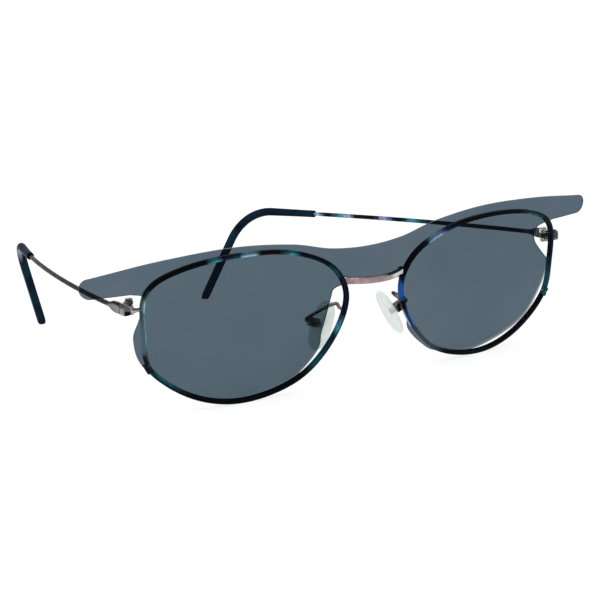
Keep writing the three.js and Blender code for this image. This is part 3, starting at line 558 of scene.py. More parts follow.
# Where a light drift reaches the outer corners, or the back, as well; on the back it is a painted highlight
outerBelt = fade(shown, 0.24, 0.28, 0.972, 0.985)
backHighlightBelt = fade(hidden, 0.06, 0.1, 0.24, 0.28)
nearPatches = [{"along": fade(hidden, 1.6, 3.2, 9, 11), "belt": outerBelt, "paint": "#405860"}]
farPatches = [{"along": fade(hidden, 73.6, 75, 77.6, 78.6), "belt": outerBelt, "paint": "#1d4b8f"},
              # Painted highlight: a pale patch on the back of the left eyewire
              {"along": fade(hidden, 81, 82.4, 86.5, 88), "belt": backHighlightBelt, "paint": "#93abb9"},
              {"along": fade(hidden, 86.5, 88.5, 95, 100), "belt": outerBelt, "paint": "#353c45"}]
enamels = {"left": brushedEnamel("brushed stove enamel of the left eyewire", farDriftsAndHighlights, rimShadeBelt, farPatches),
           "right": brushedEnamel("brushed stove enamel of the right eyewire", nearDriftsAndHighlights, rimShadeBelt,
                                  nearPatches)}
templeEnamel = brushedEnamel("brushed stove enamel of the left temple", templeDrifts, wireShadeBelt)
# On top of the bridge's left half a near-black band is painted, between the front and the back of the bar
bridgeDarkTop = {"along": fade(hidden, 9.5, 11.5), "belt": fade(hidden, 0.05, 0.1, 0.42, 0.48),
             "paint": "#05080c"}
# The bridge's plating turns from pink to pale silver at its left end, a painted highlight
plating = lacqueredMetal("polished pink silver plating", [(0, "#8d7a7e"), (3, "#a88f94"), (9, "#8f8182"),
                         (12, "#a19a98"), (14, "#c9c9c8"), (20, "#d8dadb")], (0.12, 0.28), [bridgeDarkTop])
wirePlating = wornMetal("tarnished pink silver wire", "#94858a", "#2c2523", (0.15, 0.32))
nickel = wornMetal("polished nickel silver", "#d4d5d2", "#70716e", (0.12, 0.3))
blackNickel = wornMetal("blackened nickel silver", "#4a4a48", "#0e0e0f", (0.2, 0.4))
greyNickel = wornMetal("darker grey nickel silver", "#6c6d6d", "#3d3e3e", (0.25, 0.45))
oliveNickel = wornMetal("dark olive nickel silver", "#45453a", "#17170f", (0.2, 0.4))
# The right end piece is painted pale below as a painted highlight, with painted shade on top near the
# eyewire, under the bend and along the top where it meets the hinge. The left one is dark all over.
endTopShade = {"along": fade(shown, 2.0, 2.4), "belt": fade(hidden, 0.0, 0.02, 0.3, 0.36), "paint": "#55524a"}
underBendShade = {"along": fade(hidden, 2.2, 2.6, 3.7, 4.0), "belt": fade(hidden, 0.7, 0.78, 0.986, 0.996),
             "paint": "#050506"}
hingeTopShade = {"along": fade(hidden, 3.7, 4.0), "belt": fade(hidden, 0.004, 0.02, 0.4, 0.46), "paint": "#2b2c30"}
endMetals = {"left": lacqueredMetal("dark nickel silver of the left end piece",
                                    [(0, "#3b3648"), (2.5, "#4a4454"), (5.5, "#26232c")], (0.2, 0.4)),
             "right": lacqueredMetal("polished nickel silver of the right end piece",
                                     [(0, "#aea8af"), (2.1, "#aea8af"), (2.5, "#565758"), (3.7, "#565758"),
                                      (4.0, "#8f9193"), (5.5, "#858889")], (0.15, 0.3),
                                     [endTopShade, underBendShade, hingeTopShade])}
# Painted shade along the top of the wire and its butt
wireTopShade = {"along": [(0, shown), (100, shown)], "belt": fade(hidden, 0.015, 0.05, 0.36, 0.42),
           "paint": "#121315"}
# Painted highlight: the butt is pale over its first 5.5 mm, then the wire turns near black
gunmetal = lacqueredMetal("gunmetal lacquer on drawn wire",
                          [(0, "#8f9293"), (5.5, "#85878a"), (8, "#191a18"), (30, "#1b1b19"), (60, "#1f1f1b"),
                           (100, "#191916")], (0.22, 0.4), [wireTopShade], "#cfcfcf")
resin = clearSheet("polished clear lens resin", ("#fcfefd", "#ffffff"), 16.0)
film = clearSheet("die cut tinted polyester film", ("#929fa8", "#99a4ac"), 22.0, 0.025, "#66757f")
cutEdge = clearSheet("cut edge of the tinted film", ("#596a76", "#66767f"), 2.5, 0.3, "#4d5a66", 0.02)
silicone = milkySilicone("cast translucent silicone")
# Painted highlight on the outer side of the hook, and painted reflection of the floor on the underside
# before the bend. The sleeve's map starts in its bore, so the outside begins 46 mm along it.
paintedHighlights = [{"along": fade(hidden, 72, 78), "belt": fade(shown, 0.06, 0.1, 0.82, 0.88), "paint": "#8494a3"},
          {"along": fade(hidden, 46, 49, 66, 72), "belt": fade(hidden, 0.7, 0.76, 0.9, 0.96),
           "paint": "#7f8b99"}]
sleeveClouds = [(0.3, "#0a1420"), (0.55, "#101f2d"), (0.75, "#0f2e37")]
sleeve = sleeveAcetate("moulded navy acetate sleeve", sleeveClouds, 100, paintedHighlights)
print("materials made")

# The front: every eyewire point is a plan point on one eye, its depth is that of a large sphere, and the
# eye is then swung by the face form, set out from the middle and tipped back
front = {"width": 52.0, "height": 35.8, "centres": 68.0, "faceForm": 6.0, "tilt": 8.5, "sphere": 170.0,
         "seat": 0.3, "leafGap": 0.2, "stopGap": 0.3, "pinGap": 0.1}
eyeOutline = np.array([[0.94, -0.37], [0.995, 0.1], [0.99, 0.55], [0.9, 0.73], [0.62, 0.9], [0.1, 1.0],
                       [-0.45, 0.93], [-0.86, 0.64], [-1.0, 0.25], [-0.9, -0.24], [-0.55, -0.78],
                       [0.05, -1.0], [0.55, -0.83]])
halfEye = np.array([front["width"], front["height"]]) / 2
eyePlan = throughPoints(eyeOutline * halfEye, closed=True, steps=96)
eyeLength = lengthsOf(eyePlan)[-1]
eyeTurn = turn("Z", front["faceForm"])
frontTurn = turn("X", front["tilt"])


# Point, outward, back and along directions of the eyewire's middle line at a share of its length
def eyeAt(share):
    places = (np.asarray(share, float) % 1) * eyeLength
    plan = atLength(eyePlan, places)
    slope = slopeAt(eyePlan, places)
    flat = np.zeros_like(plan[..., 0])
    x, z, sphere = plan[..., 0], plan[..., 1], front["sphere"]
    point = np.stack([x, (x * x + z * z) / (2 * sphere), z], -1)
    back = unit(np.stack([-x / sphere, flat + 1, -z / sphere], -1))
    out = np.stack([slope[..., 1], flat, -slope[..., 0]], -1)
    out = unit(out - back * np.sum(out * back, -1, keepdims=True))
    return point, out, back, np.cross(out, back)


def intoFront(points):
    return points @ eyeTurn.T + np.array([front["centres"] / 2, 0, 0])


# Point, outward and back at a height, between two shares of the eyewire's length, already in the front
def eyeAtHeight(height, low, high):
    shares = np.linspace(low, high, 4000)
    z = eyeAt(shares)[0][:, 2]
    order = np.argsort(z)
    point, out, back = eyeAt(np.interp(height, z[order], shares[order]))[:3]
    return intoFront(point), out @ eyeTurn.T, back @ eyeTurn.T


# Shares of the eyewire's length that hold its nose side and its outer side
noseSide, outerSide = (0.44, 0.62), (0.0, 0.12)

# The hinge pin stands behind the eyewire's outer corner; the frame's joint says where that is
hinge = {"height": 7.5, "out": 1.0, "back": 4.25, "barrel": 1.0, "bore": 0.55, "knuckle": 0.95, "pitch": 1.15,
         "tall": 3.25, "rearTall": 2.2, "leaf": 0.4, "leafIn": 1.1, "frontLeaf": 1.1, "rearLeaf": 3.2,
         "ring": (90, 348), "tongue": (0.2, 0.55), "tongueEnd": 0.6, "line": 2.15, "edge": 0.1}
hingeRim, hingeOut = (v @ frontTurn.T for v in eyeAtHeight(hinge["height"], *outerSide)[:2])
hingePin = hingeRim + np.array([hinge["out"], hinge["back"], 0])
joints = {joint["name"]: joint for joint in frame["joints"]}
origin = np.array(joints["left_temple_fold"]["pos_m"]) / mm - hingePin
origin[0] = 0


# From the tipped front, or from beside the hinge pin, to the frame
def frontPlace(points, side):
    return toSide(points @ frontTurn.T + origin, side)


def hingePlace(points, side):
    return toSide(points + hingePin + origin, side)


# Eyewire: a bar with rounded outer corners and a V groove inside, carried round the eye and split at
# the closing blocks
rim = {"wide": 1.1, "deep": 1.3, "round": 0.42, "edge": 0.14, "grooveWide": 0.8, "grooveDeep": 0.4,
       "mouthRound": 0.06, "grooveRound": 0.08, "split": 2.3, "stations": 420}
half, deep, groove = rim["wide"] / 2, rim["deep"] / 2, rim["grooveWide"] / 2
grooveFoot = rim["grooveDeep"] - half


# The section of the grooved bar, out to a reach
def groovedBar(reach, outerRound, innerRound):
    corners = [[reach, -deep], [reach, deep], [-half, deep], [-half, groove], [grooveFoot, 0],
               [-half, -groove], [-half, -deep]]
    mouth = rim["mouthRound"]
    rounds = [outerRound, outerRound, innerRound, mouth, rim["grooveRound"], mouth, innerRound]
    return softCorners(corners, rounds)


rimOutline = groovedBar(half, rim["round"], rim["edge"])
rimShares = np.linspace(rim["split"] / 2, eyeLength - rim["split"] / 2, rim["stations"]) / eyeLength
point, out, back = eyeAt(rimShares)[:3]
rimGrid = intoFront(point[:, None] + out[:, None] * rimOutline[:, :1] + back[:, None] * rimOutline[:, 1:])
addPair("_eyewire", [(rimGrid, "flat")], frontPlace, "_rim", enamels)

# Lens: two sphere faces that end in a bevel, which sits in the groove. A ring is how far out the edge is
# taken, the share of the way there and the level, from one face's plus one to the other's minus one.
lens = {"thick": 1.2, "bevelGap": 0.3, "shoulder": 0.6, "stations": 240, "edgeLevel": 0.96, "tipLevel": 0.1,
        "tipRound": 0.05, "shares": (0.04, 0.15, 0.3, 0.45, 0.6, 0.75, 0.88, 0.97, 0.995)}
bevelTip = grooveFoot - lens["bevelGap"]
bevelFoot = bevelTip - lens["shoulder"]
edgePoint, edgeOut = eyeAt(np.linspace(0, 1, lens["stations"], endpoint=False))[:2]
rings = [(bevelFoot, share, 1) for share in lens["shares"]]
rings += [(bevelFoot, 1, lens["edgeLevel"]), (bevelTip - lens["tipRound"], 1, lens["tipLevel"])]
lensRows = []
for reach, share, level in rings + [(reach, share, -level) for reach, share, level in rings[::-1]]:
    plan = (edgePoint + edgeOut * reach)[:, [0, 2]] * share
    depth = (plan ** 2).sum(1) / (2 * front["sphere"]) - level * lens["thick"] / 2
    lensRows.append(np.stack([plan[:, 0], depth, plan[:, 1]], -1))
addPair("_clear_lens", [(intoFront(np.stack(lensRows)), "points")], frontPlace, "_lens", resin)
print("eyewires and lenses made")

# Closing blocks: two halves on the eyewire's split ends with a screw through both
lock = {"proud": 0.55, "gap": 0.08, "tall": 1.11, "round": 0.35, "innerRound": 0.12, "edge": 0.1, "bore": 0.4,
        "headSunk": 0.02}
lockScrew = {"head": 0.38, "headTall": 0.35, "slot": 0.12, "slotDeep": 0.14, "edge": 0.05, "shank": 0.25,
             "shankLong": 2.0}
lockOuter = half + lock["proud"]
lockBore = np.array([(grooveFoot + lockOuter) / 2, 0])
lockOutline = groovedBar(lockOuter, lock["round"], lock["innerRound"])
lockFrame = eyeAt(0.0)
lockNear, lockFar = lock["gap"] / 2, lock["gap"] / 2 + lock["tall"]


def lockPlace(local, side):
    point, out, back, along = lockFrame
    return frontPlace(intoFront(point + local @ np.stack([out, back, along])), side)


for part, low, high in (("upper", lockNear, lockFar), ("lower", -lockFar, -lockNear)):
    block = boredBlock(lockOutline, lockBore, lock["bore"], low, high, lock["edge"])
    addPair("_closing_block_" + part, [(block, "joined")], lockPlace, "_rim_lock_" + part,
            enamels)
lockScrewAt = np.array([*lockBore, lock["headSunk"] - lockFar])
lockScrewGrids = [(grid * np.array([1, 1, -1]) + lockScrewAt, "flat") for grid in screw(lockScrew)]
addPair("_closing_screw", lockScrewGrids, lockPlace, "_rim_screw", blackNickel)

# Bridge: a squarish bar on a shallow bow from eyewire to eyewire, swelling where it is brazed on
bridge = {"height": 7.5, "thick": 1.3, "deep": 1.7, "bow": 4.8, "power": 3, "swell": 0.22, "swellFrom": 0.6,
          "swellTo": 1.6, "tuck": 0.9, "stations": 90, "around": 32}
point, out = eyeAtHeight(bridge["height"], *noseSide)[:2]
end = point + out * (half + front["seat"])
end[0] -= bridge["deep"] / 2 * abs(out[2])
bow = np.array([0, end[1] - bridge["bow"], end[2]])
curve = arc(toSide(end, -1), bow, end, np.linspace(0, 1, 200)[:, None])
tucked = end + unit(curve[-1] - curve[-2]) * bridge["tuck"]
bridgePath = np.concatenate([[toSide(tucked, -1)], curve, [tucked]])
places = np.linspace(0, lengthsOf(bridgePath)[-1], bridge["stations"])
swell = brazed(places, bridge)
bridgeGrid = rod(bridgePath, places, bridge["thick"] / 2 * swell, bridge["deep"] / 2 * swell, bridge["power"],
                 bridge["around"])
addPiece("bridge_bar", [skin(frontPlace(bridgeGrid, 1))], "front", ["bridge"], plating)

# Nose pads: each stands on its own axes, across, square to the nose and long, about its middle
pad = {"at": (10.1, 6.2, -5.1), "splay": 25.0, "rake": 11.0, "frontal": 8.0, "wide": 7.2, "long": 12.4,
       "thick": 2.2, "oval": 2.3, "crown": 2.5, "pivot": -2.5, "lift": 88, "rings": 41, "around": 72}
padAt = np.array(pad["at"])
rake, splay, frontal = (np.radians(pad[key]) for key in ("rake", "splay", "frontal"))
padLong = np.array([-np.sin(splay), np.sin(rake), 0])
padLong[2] = np.sqrt(1 - padLong @ padLong)
padNormal = np.array([-np.cos(frontal), np.sin(frontal), 0])
padNormal = unit(padNormal - padLong * (padNormal @ padLong))
padAxes = np.stack([np.cross(padNormal, padLong), padNormal, padLong])


def padPlace(local, side):
    return frontPlace(padAt + local @ padAxes, side)


# The pad is an oval whose rings shrink to both faces on a rounded profile
shrink, level = squarish(np.radians(np.linspace(-pad["lift"], pad["lift"], pad["rings"])), pad["crown"])
across, along = squarish(np.linspace(0, 2 * np.pi, pad["around"], endpoint=False), pad["oval"])
padGrid = np.stack([shrink[:, None] * across * pad["wide"] / 2,
                    level[:, None] * pad["thick"] / 2 + 0 * across,
                    shrink[:, None] * along * pad["long"] / 2], -1)
# The post is a small tongue moulded into the pad; the box is a channel that holds it, with a screw across
post = {"thick": 0.8, "tall": 1.5, "in": 1.0, "end": -3.25, "edge": 0.15}
box = {"outer": 1.05, "wall": 0.45, "front": -1.65, "floor": -3.45, "back": -3.9, "tall": 2.2, "edge": 0.12,
       "rounds": (0.4, 0.4, 0.15, 0.1, 0.12, 0.12, 0.1, 0.15)}
padScrew = {"head": 0.6, "headTall": 0.4, "slot": 0.16, "slotDeep": 0.16, "edge": 0.07, "shank": 0.3,
            "shankLong": 1.9}
postTop = post["in"] - pad["thick"] / 2
postGrid = plate(-post["thick"] / 2, post["thick"] / 2, post["end"], postTop, post["tall"], post["edge"])
outer, inner = box["outer"], box["outer"] - box["wall"]
boxCorners = [[-outer, box["back"]], [outer, box["back"]], [outer, box["front"]], [inner, box["front"]],
              [inner, box["floor"]], [-inner, box["floor"]], [-inner, box["front"]], [-outer, box["front"]]]
boxGrid = prism(softCorners(boxCorners, box["rounds"]), -box["tall"] / 2, box["tall"] / 2, box["edge"])
padScrewAt = np.array([outer + padScrew["headTall"] + front["pinGap"], pad["pivot"], 0])
padScrewGrids = [(grid[..., [2, 0, 1]] + padScrewAt, "flat") for grid in screw(padScrew)]
# The arm is a round wire that leaves the back of the eyewire, bends over and comes down on the box
arm = {"radius": 0.45, "rimHeight": 0.7, "crownHeight": 1.2, "standoff": 1.1, "crownBack": 3.6, "swell": 0.3,
       "swellFrom": 0.4, "swellTo": 1.4, "rimTuck": 0.6, "boxTuck": 0.15, "up": (1, 0.2, 0.1),
       "stations": 110, "around": 20}
point, back = eyeAtHeight(arm["rimHeight"], *noseSide)[::2]
crown, crownBack = eyeAtHeight(arm["crownHeight"], *noseSide)[::2]
start = point + back * (deep + front["seat"])
boxEnd = box["back"] - front["leafGap"]
armPath = throughPoints([start, start + back * arm["standoff"], crown + crownBack * arm["crownBack"],
                         padAt + padNormal * (boxEnd - arm["standoff"]), padAt + padNormal * boxEnd])
armPath = np.concatenate([[start - back * arm["rimTuck"]], armPath,
                          [padAt + padNormal * (box["back"] + arm["boxTuck"])]])
places = np.linspace(0, lengthsOf(armPath)[-1], arm["stations"])
armRound = arm["radius"] * brazed(places, arm)
armGrid = rod(armPath, places, armRound, armRound, 2, arm["around"], arm["up"])
addPair("_soft_pad", [(padGrid, "points")], padPlace, "_nose_pad", silicone, "_pad")
addPair("_pad_tongue", [(postGrid, "flat")], padPlace, "_pad_post", nickel, "_pad")
addPair("_pad_holder", [(boxGrid, "flat")], padPlace, "_pad_box", wirePlating)
addPair("_pad_pin", padScrewGrids, padPlace, "_pad_screw", nickel)
addPair("_pad_wire", [(armGrid, "flat")], frontPlace, "_pad_arm", wirePlating)
print("bridge and nose pads made")

# Hinge: two knuckles on the front leaf and one on the rear, round barrels with a tongue to a flat leaf
hingeScrew = {"head": 0.85, "headTall": 0.35, "slot": 0.22, "slotDeep": 0.18, "edge": 0.1, "shank": 0.45,
              "shankLong": 3.25}
# The right front leaf and pin and the left rear leaf take darker copies of the nickel silver
frontLeafMetals = {"left": nickel, "right": greyNickel}
rearLeafMetals = {"left": oliveNickel, "right": nickel}
pinMetals = {"left": nickel, "right": greyNickel}


# A knuckle's outline: three quarters of the barrel's circle and the tongue out to the leaf
def knuckle(way, level):
    angle = np.radians(np.linspace(*hinge["ring"], 40))
    ring = hinge["barrel"] * np.stack([np.cos(angle), np.sin(angle)], -1)
    reach = hinge["leafIn"] + hinge["leaf"] / 2
    tongue = [[reach, y] for y in (*hinge["tongue"], hinge["barrel"])]
    tongue.append([hinge["tongueEnd"], hinge["barrel"]])
    outline = np.concatenate([ring, tongue]) * np.array([1, way])
    low = level * hinge["pitch"] - hinge["knuckle"] / 2
    return boredBlock(outline, np.zeros(2), hinge["bore"], low, low + hinge["knuckle"], hinge["edge"])


def leafPlate(y0, y1, tall):
    return plate(hinge["leafIn"], hinge["leafIn"] + hinge["leaf"], y0, y1, tall, hinge["edge"])


stop = front["stopGap"] / 2
frontLeaf = [(knuckle(-1, -1), "joined"), (knuckle(-1, 1), "joined"),
             (leafPlate(-stop - hinge["frontLeaf"], -stop, hinge["tall"]), "flat")]
rearLeaf = [(knuckle(1, 0), "joined"), (leafPlate(stop, stop + hinge["rearLeaf"], hinge["rearTall"]), "flat")]
hingeScrewAt = np.array([0, 0, hinge["tall"] / 2 + front["pinGap"] + hingeScrew["headTall"]])
hingeScrewGrids = [(grid + hingeScrewAt, "flat") for grid in screw(hingeScrew)]

# End piece: a thin round rod that leaves the eyewire, bends back and flares to the flat of the hinge
endPiece = {"radius": 0.45, "flat": 0.9, "tall": 2.8, "power": 5, "lead": 1.55, "tuck": 0.7, "endRound": 0.15,
            "flareFrom": 0.7, "flareShort": 0.2, "gap": 0.1, "around": 40}
point = hingeRim + hingeOut * (half + front["seat"])
start = np.array([point[0], point[1], hingePin[2]]) - hingePin
end = np.array([hinge["line"], -stop, 0])
bend = end - np.array([0, endPiece["lead"], 0])
corner = np.array([end[0], start[1], end[2]])
curve = arc(start, corner, bend, np.linspace(0, 1, 80)[:, None])
tucked = start - unit(curve[1] - curve[0]) * endPiece["tuck"]
endPath = np.concatenate([[tucked], curve, lerp(bend, end, np.linspace(0.1, 1, 10)[:, None])])
endLong = lengthsOf(endPath)[-1]
places = rodPlaces(endLong, endPiece["gap"], 0, endPiece["endRound"])
flare = smooth(places, endPiece["flareFrom"], endLong - endPiece["lead"] - endPiece["flareShort"])
share = endShare(places, endLong, 0, endPiece["endRound"], endPiece["flat"] / 2)
thin = lerp(endPiece["radius"], endPiece["flat"] / 2, flare) * share
tall = lerp(endPiece["radius"], endPiece["tall"] / 2, flare) - endPiece["flat"] / 2 * (1 - share)
endGrid = rod(endPath, places, thin, tall, lerp(2, endPiece["power"], flare), endPiece["around"])
addPair("_end_piece_rod", [(endGrid, "flat")], hingePlace, "_end_piece", endMetals)
addPair("_front_leaf", frontLeaf, hingePlace, "_hinge_front_leaf", frontLeafMetals)
addPair("_hinge_pin", hingeScrewGrids, hingePlace, "_hinge_screw", pinMetals)
print("hinges made")

# Temples: a flat butt that tapers into wire, bows gently inwards, bends down behind the ear and ends in a
# straight hook. The heading turns evenly over the run; over the ear it dips and leans in, both evenly.
temple = {"run": 95.0, "bendRadius": 15.2, "bend": 65.4, "lean": 12.9, "butt": 3.0, "buttThick": 0.9,
          "buttTall": 2.6, "buttRound": 0.15, "power": 5, "taper": 4.0, "wire": 0.58, "core": 0.5,
          "coreShort": 9.0, "coreTaper": 2.5, "runSteps": 300, "earSteps": 120, "hookSteps": 50,
          "fineLong": 12.0, "fineGap": 0.12, "stations": 260, "around": 32}
tip = {"start": 80.0, "radius": 1.0, "swell": 0.2, "swellEnd": 105.0, "lip": 0.35, "lead": 0.3, "foot": 0.75,
       "footTaper": 1.6, "bore": 0.8, "around": 40, "boreRows": 60, "lipRows": 8, "rows": 150, "footRows": 9}
sets = {"left": {"toe": 10.2, "bow": 15.2, "material": templeEnamel, "slot": "marbled_enamel"},
        "right": {"toe": 5.0, "bow": 12.0, "material": gunmetal, "slot": "nickel_silver"}}


def templePath(bowAngle, floor):
    bow, bend, lean = (np.radians(v) for v in (bowAngle, temple["bend"], temple["lean"]))
    ahead, inward = np.array([-np.sin(bow), np.cos(bow), 0]), np.array([-np.cos(bow), -np.sin(bow), 0])
    runShare, earShare = ((np.arange(temple[key]) + 0.5) / temple[key] for key in ("runSteps", "earSteps"))

    def heading(share):
        share = np.asarray(share)[..., None]
        dip = np.cos(bend * share) * ahead - np.sin(bend * share) * np.array([0, 0, 1])
        return dip * np.cos(lean * share) + inward * np.sin(lean * share)

    run = np.stack([-np.sin(bow * runShare), np.cos(bow * runShare), 0 * runShare], -1)
    run = run * temple["run"] / temple["runSteps"]
    ear = heading(earShare) * temple["bendRadius"] * bend / temple["earSteps"]
    points = np.cumsum(np.concatenate([[[hinge["line"], stop, 0]], run, ear]), axis=0)
    hook = heading(1.0)
    end = points[-1] + hook * (points[-1][2] - floor) / -hook[2]
    return np.concatenate([points, lerp(points[-1], end, np.linspace(0.02, 1, temple["hookSteps"])[:, None])])


for name, side in sides:
    path = templePath(sets[name]["bow"], -hingePin[2] - origin[2])
    toe = turn("Z", sets[name]["toe"])
    long = lengthsOf(path)[-1]
    wireLong = long - temple["coreShort"]
    fine = rodPlaces(temple["fineLong"], temple["fineGap"], temple["buttRound"])[:-1]
    places = np.concatenate([fine, np.linspace(temple["fineLong"], wireLong, temple["stations"])])
    taper = smooth(places, temple["butt"], temple["butt"] + temple["taper"])
    thin = smooth(places, tip["start"] - temple["coreTaper"], tip["start"] - front["seat"])
    halfWire = lerp(temple["wire"], temple["core"], thin)
    share = endShare(places, long, temple["buttRound"], 0, temple["buttThick"] / 2)
    lost = temple["buttThick"] / 2 * (1 - share)
    wireGrid = rod(path, places, lerp(temple["buttThick"] / 2, halfWire, taper) - lost,
                   lerp(temple["buttTall"] / 2, halfWire, taper) - lost, lerp(temple["power"], 2, taper),
                   temple["around"])
    addPiece(name + "_temple_wire", [skin(hingePlace(wireGrid @ toe.T, side), places=places)], name + "_arm",
             [name + "_temple"], sets[name]["material"])
    # The tip runs out of its own bore, over a rounded lip and down to a flat foot on the floor
    bodyStart = tip["start"] + tip["lip"]
    boreEnd = wireLong + 2 * front["seat"]
    borePlaces = np.linspace(boreEnd, bodyStart, tip["boreRows"])
    bore = rod(path, borePlaces, tip["bore"], tip["bore"], 2, tip["around"])
    quarter = np.linspace(np.pi / 2, 0, tip["lipRows"])
    lipRound = tip["radius"] - (tip["radius"] - tip["bore"]) * (1 - np.cos(quarter))
    lipPlaces = tip["start"] + tip["lip"] * (1 - np.sin(quarter))
    lip = rod(path, lipPlaces, lipRound, lipRound, 2, tip["around"])
    bodyPlaces = np.linspace(bodyStart + tip["lead"], long - tip["footTaper"], tip["rows"])
    bodyRound = tip["radius"] + tip["swell"] * smooth(bodyPlaces, tip["start"], tip["swellEnd"])
    body = rod(path, bodyPlaces, bodyRound, bodyRound, 2, tip["around"])
    foot, bodyEnd = path[-1], body[-1].mean(0)
    along = unit((foot - bodyEnd) * np.array([1, 1, 0]))
    across = np.array([along[1], -along[0], 0])
    angle = np.linspace(0, 2 * np.pi, tip["around"], endpoint=False)
    footSpokes = tip["foot"] * (np.cos(angle)[:, None] * across + np.sin(angle)[:, None] * along)
    t = np.linspace(0, np.pi / 2, tip["footRows"])[1:, None, None]
    footGrid = lerp(bodyEnd, foot, np.sin(t)) + lerp(body[-1] - bodyEnd, footSpokes, 1 - np.cos(t))
    sleeveGrid = np.concatenate([bore, lip, body, footGrid])
    addPiece(name + "_ear_sleeve", [skin(hingePlace(sleeveGrid @ toe.T, side))], name + "_arm",
             [name + "_temple_tip"], sleeve)
    addPiece(name + "_rear_leaf", [skin(hingePlace(grid @ toe.T, side), ends) for grid, ends in rearLeaf],
             name + "_arm", [name + "_hinge_rear_leaf"], rearLeafMetals[name])
print("temples made")

# Shade: a sheet bent on a wide cylinder. Every lower edge point is joined to a point of the upper edge, so
# that the joining lines fan round the notch at the hinge. The two faces are these lines, a thickness apart.
shade = {"bend": 420.0, "thick": 0.4, "gap": 0.3, "roll": -0.5, "shift": -0.35, "wing": 13.2,
         "wingDrop": 1.75, "wingTall": 4.8, "topRound": 2.2, "wingRoot": 27.5, "noseFlat": 4.9,
         "noseHigh": 6.4, "across": 24, "noseSteps": 9,
         "lobeSteps": 20, "wingSteps": 14, "endSteps": 20, "endFrom": 2}
# Upper edge, in shares of the way to the eye's middle, with the rise over the eyewire's top
brow = [[0, -3.1], [0.3, -2.3], [0.62, 0.2], [1.07, 1.5], [1.6, 0.5]]
# Lower edge from the nose to the wing, in shares of the eye, with the place across that it meets at the top.
# The outer side of the lobe and the notch at the hinge are cut a little differently on the left.
lobe = [[-0.955, 0.31, 9.8], [-0.917, 0.2, 12], [-0.862, -0.1, 14], [-0.82, -0.3, 15.5], [-0.795, -0.5, 17],
        [-0.635, -0.745, 20], [-0.43, -0.915, 23], [0.08, -1.02, 29.5]]
notches = {"left": [[0.67, -0.785, 35], [0.935, -0.365, 38.5], [1.015, 0.0, 41], [0.955, 0.13, 42],
                    [0.88, 0.25, 43.5], [0.815, 0.37, 46], [0.8, 0.48, 49.5], [0.85, 0.59, 56]],
           "right": [[0.645, -0.745, 35], [0.95, -0.345, 38.5], [1.03, 0.02, 41], [0.985, 0.25, 43],
                     [0.935, 0.45, 48.5], [0.95, 0.59, 56]]}
centre, reach = front["centres"] / 2, front["centres"] / 2 + halfEye[0] + shade["wing"]
wingTop = halfEye[1] - shade["wingDrop"]
wingLow = wingTop - shade["wingTall"]
wingStart = centre + shade["wingRoot"]
topRound, lowRound = shade["topRound"], shade["wingTall"] - shade["topRound"]
browPoints = [[share * centre, halfEye[1] + rise] for share, rise in brow] + [[reach - topRound, wingTop]]
browPoints = [[-x, z] for x, z in browPoints[:0:-1]] + browPoints
browCurve = throughPoints(browPoints, power=0.0)


# Lower and upper edge of one half, from the middle to the end of the wing
def sheetHalf(notch):
    points = [[shade["noseFlat"], shade["noseHigh"], shade["noseFlat"]]]
    points += [[centre + u * halfEye[0], v * halfEye[1], top] for u, v, top in lobe + notch]
    points = np.array(points + [[wingStart, wingLow, wingStart]])
    curve = throughPoints(points[:, :2], power=0.0, steps=shade["lobeSteps"])
    topX = np.interp(np.linspace(0, len(points) - 1, len(curve)), np.arange(len(points)), points[:, 2])
    noseX = np.linspace(0, shade["noseFlat"], shade["noseSteps"])[:-1]
    wingX = np.linspace(wingStart, reach - lowRound, shade["wingSteps"])[1:]
    topX = np.concatenate([noseX, topX, np.linspace(wingStart, reach - topRound, shade["wingSteps"])[1:]])
    swing = np.radians(np.linspace(90, shade["endFrom"], shade["endSteps"]))[1:, None]
    sweep = np.concatenate([np.cos(swing), np.sin(swing)], 1)
    low = [np.column_stack([noseX, 0 * noseX + shade["noseHigh"]]), curve,
           np.column_stack([wingX, 0 * wingX + wingLow]),
           [reach - lowRound, wingLow + lowRound] + lowRound * sweep * [1, -1]]
    top = [np.column_stack([topX, np.interp(topX, browCurve[:, 0], browCurve[:, 1])]),
           [reach - topRound, wingTop - topRound] + topRound * sweep]
    return np.stack([np.concatenate(low), np.concatenate(top)])


leftEdges, rightEdges = (sheetHalf(notches[name]) for name, side in sides)
lowEdge, topEdge = np.concatenate([rightEdges[:, :0:-1] * np.array([-1, 1]), leftEdges], axis=1)
point, out, back = eyeAt(np.linspace(0, 1, 600))[:3]
rimBack = intoFront(point + back * deep)
setback = np.max(rimBack[:, 1] - rimBack[:, 0] ** 2 / (2 * shade["bend"])) + shade["gap"] + shade["thick"] / 2
share = np.linspace(0, 1, shade["across"])[:, None]
flat = lowEdge[:, None] * (1 - share) + topEdge[:, None] * share
roll = np.radians(shade["roll"])
x = flat[..., 0] * np.cos(roll) + flat[..., 1] * np.sin(roll) + shade["shift"]
z = -flat[..., 0] * np.sin(roll) + flat[..., 1] * np.cos(roll)
y = setback + x ** 2 / (2 * shade["bend"])
frontFace, backFace = (np.stack([x, y + way * shade["thick"] / 2, z], -1) for way in (-1, 1))
shadeGrid = np.concatenate([frontFace, backFace[:, ::-1]], axis=1)
shadeSkin = skin(frontPlace(shadeGrid, 1), walls=(shade["across"] - 1, 2 * shade["across"] - 1))
addPiece("tinted_sheet", [shadeSkin], "shade", ["tinted_shade"], film, cutEdge)
print("shade made")

